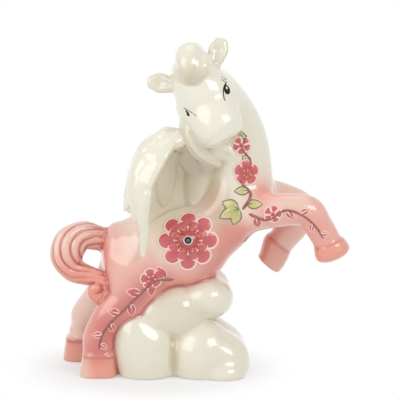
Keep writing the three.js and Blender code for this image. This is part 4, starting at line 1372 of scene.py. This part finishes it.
def build_figure(porcelain):
    grid = Grid((-72, -34, -3), (78, 35, 166), 0.6, WIDE_BAND)
    limbs = []
    for side in SIDES:
        hind = loft(hind_leg_stations(side), caps=(6, 2))
        fore = loft(fore_leg_stations(side), caps=(6, 2))
        limbs.append(grid.union([hind, hind_hoof(side)], HIND_HOOF_FILLET))
        limbs.append(grid.union([fore, fore_hoof(side)], FORE_HOOF_FILLET))
    cheeks = grid.union([cheek(side) for side in SIDES], HEAD_FILLET)
    head = blend(grid.distance(skull()), cheeks, HEAD_FILLET)
    body = blend(grid.distance(torso()), grid.ellipsoid(*BELLY_SWELL), BELLY_FILLET)
    body = blend(body, grid.distance(neck()), NECK_FILLET)
    body = blend_all([body, *limbs], LIMB_FILLET)
    jowl = blend(body, cheeks, JOWL_FILLET)
    body = blend(blend(body, head, HEAD_CREASE), jowl, JOWL_CREASE)
    body = above_ground(grid, grid.blur(body, BODY_BLUR))
    castings = ["torso", "neck", "head", "foreleg_right", "foreleg_left", "hindleg_right", "hindleg_left"]
    skin("horse_body", grid, body, porcelain, "rose_glaze", castings, paint_body)

    def add(name, low, high, voxel, field, fillet=ROOT_FILLET, slot="ivory_glaze", under=None, **finish):
        """Adds the casting of a node, rooted in the horse and in what else lies under it."""
        local = Grid(low, high, voxel)
        carrier = grid.resample(body, local)
        if under:
            carrier = np.minimum(carrier, under(local))
        values = above_ground(local, rooted(field(local), carrier, fillet))
        skin(name, local, local.blur(values, PIECE_BLUR), porcelain, slot, [name], **finish)

    def seamed(paint, reach, strength):
        """Paint with a rose line where a piece meets the horse."""
        def painted(points, masks):
            masks = {**masks, **paint(points, masks)}
            near = seam_line(grid.sample(body, points), reach)
            return {**masks, "rose": np.maximum(masks["rose"], strength * near)}
        return painted

    def ear_field(side):
        def field(local):
            flap, hollow = (local.distance(shape) for shape in ear_parts(side))
            return carve(flap, hollow, EAR_EDGE)
        return field

    add("ear_right", (-33, -26, 136), (-8, -3, 158), 0.35, ear_field(RIGHT), paint=paint_ear)
    add("ear_left", (-3, -24, 150), (20, -2, 176), 0.35, ear_field(LEFT), paint=paint_ear)
    add("forelock", (-20, -38, 138), (12, 4, 174), 0.4,
        lambda local: local.union(forelock_lobes(), LOBE_FILLET), FORELOCK_FILLET, paint=paint_forelock)
    add("mane", (-20, -28, 92), (26, 24, 158), 0.45,
        lambda local: local.union(mane_locks(), LOCK_FILLET), paint=paint_mane)

    def wing_field(side):
        def field(local):
            shell, feathers = wing_shapes(side)
            fields = [local.union(shell, SHELL_FILLET), *(local.distance(shape) for shape in feathers)]
            return blend_all(fields, FEATHER_FILLET)
        return field

    add("wing_right", (-48, -40, 55), (16, 6, 134), 0.5, wing_field(RIGHT), paint=wing_paint(RIGHT))
    add("wing_left", (-48, -4, 55), (16, 44, 130), 0.5, wing_field(LEFT), paint=wing_paint(LEFT))
    add("tail", (-80, -22, 30), (-34, 12, 82), 0.4, lambda local: local.distance(tail()), slot="pink_glaze",
        paint=seamed(paint_tail, 1.4, 0.9), hollow=0.9, hollow_gain=7)

    def bank(local):
        bulk = blend(puffs(local, REAR_PUFFS, 3), puffs(local, FRONT_PUFFS, 5), 5)
        return blend(bulk, puffs(local, [FOOT_PUFF], 1), 2)

    cloud = dict(fillet=CLOUD_FILLET, slot="cloud_glaze", hollow=3, hollow_gain=1.8)
    add("cloud_base", (-50, -32, -3), (32, 32, 40), 0.7, bank, paint=seamed(paint_cloud, 1.1, 0.95), **cloud)
    add("cloud_cushion", (-36, -30, 12), (24, 28, 60), 0.7, lambda local: puffs(local, CUSHION_PUFFS, 3),
        under=bank, paint=seamed(paint_cushion, 1.1, 0.95), **cloud)
    return Surface(grid, body)


def build_jewel():
    """Finishes for the crystal and its cup, whose shapes are the frame's own."""
    n = Nodes("plated_cup")
    n.link(n.mix(n.noise(900), srgb(238, 236, 230), srgb(196, 192, 186)), n.shader.inputs["Base Color"])
    n.link(n.noise(1200, low=0.12, high=0.3), n.shader.inputs["Roughness"])
    set_inputs(n.shader, {"Metallic": 1.0})
    n.bump(n.noise(1500, 2.0), 0.05, 0.0001)
    bpy.data.objects["crystal_cup"].material_slots[0].material = n.material
    n = Nodes("dark_crystal")
    n.link(n.mix(n.noise(800), srgb(20, 36, 32), srgb(52, 74, 66)), n.shader.inputs["Base Color"])
    n.gloss(0.06)
    set_inputs(n.shader, {"IOR": 1.8})
    bpy.data.objects["crystal"].material_slots[0].material = n.material


# Stage

WHITE = (1, 1, 1, 1)
FLOOR_COLOUR = (0.93, 0.93, 0.93, 1)
FLOOR_DROP = 0.0002  # keeps the floor just under the figure
ROOM_LIGHT = 0.5
LIGHT_TARGET = Vector((0, 0, 0.08))
FOOTPRINT_MIDDLE = (-0.025, 0.0, 0.0)
SHADOW_NEAR, SHADOW_FAR = 0.03, 0.075  # the floor turns to plain white between these, in metres from there
SHADOW_GLOW = 0.4  # share of white inside the nearer one
SENSOR_WIDTH = 36.0


def light(name, place, size, power):
    """A softbox at a place in metres, aimed at the figure."""
    lamp = bpy.data.lights.new(name, "AREA")
    lamp.shape = "RECTANGLE"
    lamp.size, lamp.size_y = size
    lamp.energy = power
    obj = bpy.data.objects.new(name, lamp)
    obj.location = place
    obj.rotation_euler = (LIGHT_TARGET - Vector(place)).to_track_quat("-Z", "Y").to_euler()
    bpy.context.collection.objects.link(obj)


def background_rays(tree):
    """1 for rays that show the background, straight from the camera, mirrored or through glass."""
    rays = tree.nodes.new("ShaderNodeLightPath")
    total = rays.outputs["Is Camera Ray"]
    for name in ("Is Glossy Ray", "Is Transmission Ray"):
        either = tree.nodes.new("ShaderNodeMath")
        either.operation = "MAXIMUM"
        tree.links.new(total, either.inputs[0])
        tree.links.new(rays.outputs[name], either.inputs[1])
        total = either.outputs[0]
    return total


def mix_shaders(tree, share, first, second, output):
    """Shows the first shader node, and a share of the second."""
    mix = tree.nodes.new("ShaderNodeMixShader")
    tree.links.new(share, mix.inputs["Fac"])
    tree.links.new(first.outputs[0], mix.inputs[1])
    tree.links.new(second.outputs[0], mix.inputs[2])
    tree.links.new(mix.outputs["Shader"], tree.nodes[output].inputs["Surface"])


def build_stage():
    scene = bpy.context.scene
    scene.view_settings.view_transform = "Standard"
    lens = bpy.data.cameras.new("camera")
    lens.sensor_width = SENSOR_WIDTH
    lens.lens = SENSOR_WIDTH * CAMERA_DISTANCE / (PIXELS * MM_PER_PIXEL * MM)
    lens.clip_end = 50
    camera = bpy.data.objects.new("camera", lens)
    middle = VIEW_UP * (GROUND_ROW - PIXELS / 2) * MM_PER_PIXEL
    camera.location = Vector(in_scene(middle)) - Vector(VIEW_DIRECTION) * CAMERA_DISTANCE
    camera.rotation_euler = (math.pi / 2 - VIEW_ELEVATION, 0, 0)
    bpy.context.collection.objects.link(camera)
    scene.camera = camera

    light("key_softbox", (0.6, -0.75, 0.7), (0.6, 0.4), 3.5)
    light("left_softbox", (-0.85, -0.5, 0.6), (0.9, 0.8), 4.0)
    light("top_softbox", (0.0, 0.25, 1.0), (0.6, 0.6), 0.8)

    world = bpy.data.worlds.new("studio")
    scene.world = world
    world.use_nodes = True
    nodes = world.node_tree.nodes
    room = nodes["Background"]
    set_inputs(room, {"Color": WHITE, "Strength": ROOM_LIGHT})
    paper = nodes.new("ShaderNodeBackground")
    set_inputs(paper, {"Color": WHITE})
    mix_shaders(world.node_tree, background_rays(world.node_tree), room, paper, "World Output")

    bpy.ops.mesh.primitive_circle_add(vertices=96, radius=4, fill_type="NGON", location=(0, 0, -FLOOR_DROP))
    floor = bpy.context.object
    floor.name = "floor"
    n = Nodes("floor_paper")
    set_inputs(n.shader, {"Base Color": FLOOR_COLOUR, "Roughness": 0.9, "Specular IOR Level": 0.0})
    glow = n.add("ShaderNodeEmission")
    set_inputs(glow, {"Color": WHITE})
    far = n.add("ShaderNodeVectorMath", operation="DISTANCE")
    set_inputs(far, {1: FOOTPRINT_MIDDLE})
    n.link(n.add("ShaderNodeNewGeometry").outputs["Position"], far.inputs[0])
    fade = n.add("ShaderNodeMapRange", interpolation_type="SMOOTHSTEP")
    set_inputs(fade, {"From Min": SHADOW_NEAR, "From Max": SHADOW_FAR, "To Min": SHADOW_GLOW})
    n.link(far.outputs["Value"], fade.inputs["Value"])
    share = n.product(fade.outputs["Result"], background_rays(n.tree))
    mix_shaders(n.tree, share, n.shader, glow, "Material Output")
    floor.data.materials.append(n.material)


build_stage()
build_enamel(build_figure(glaze()))
build_jewel()
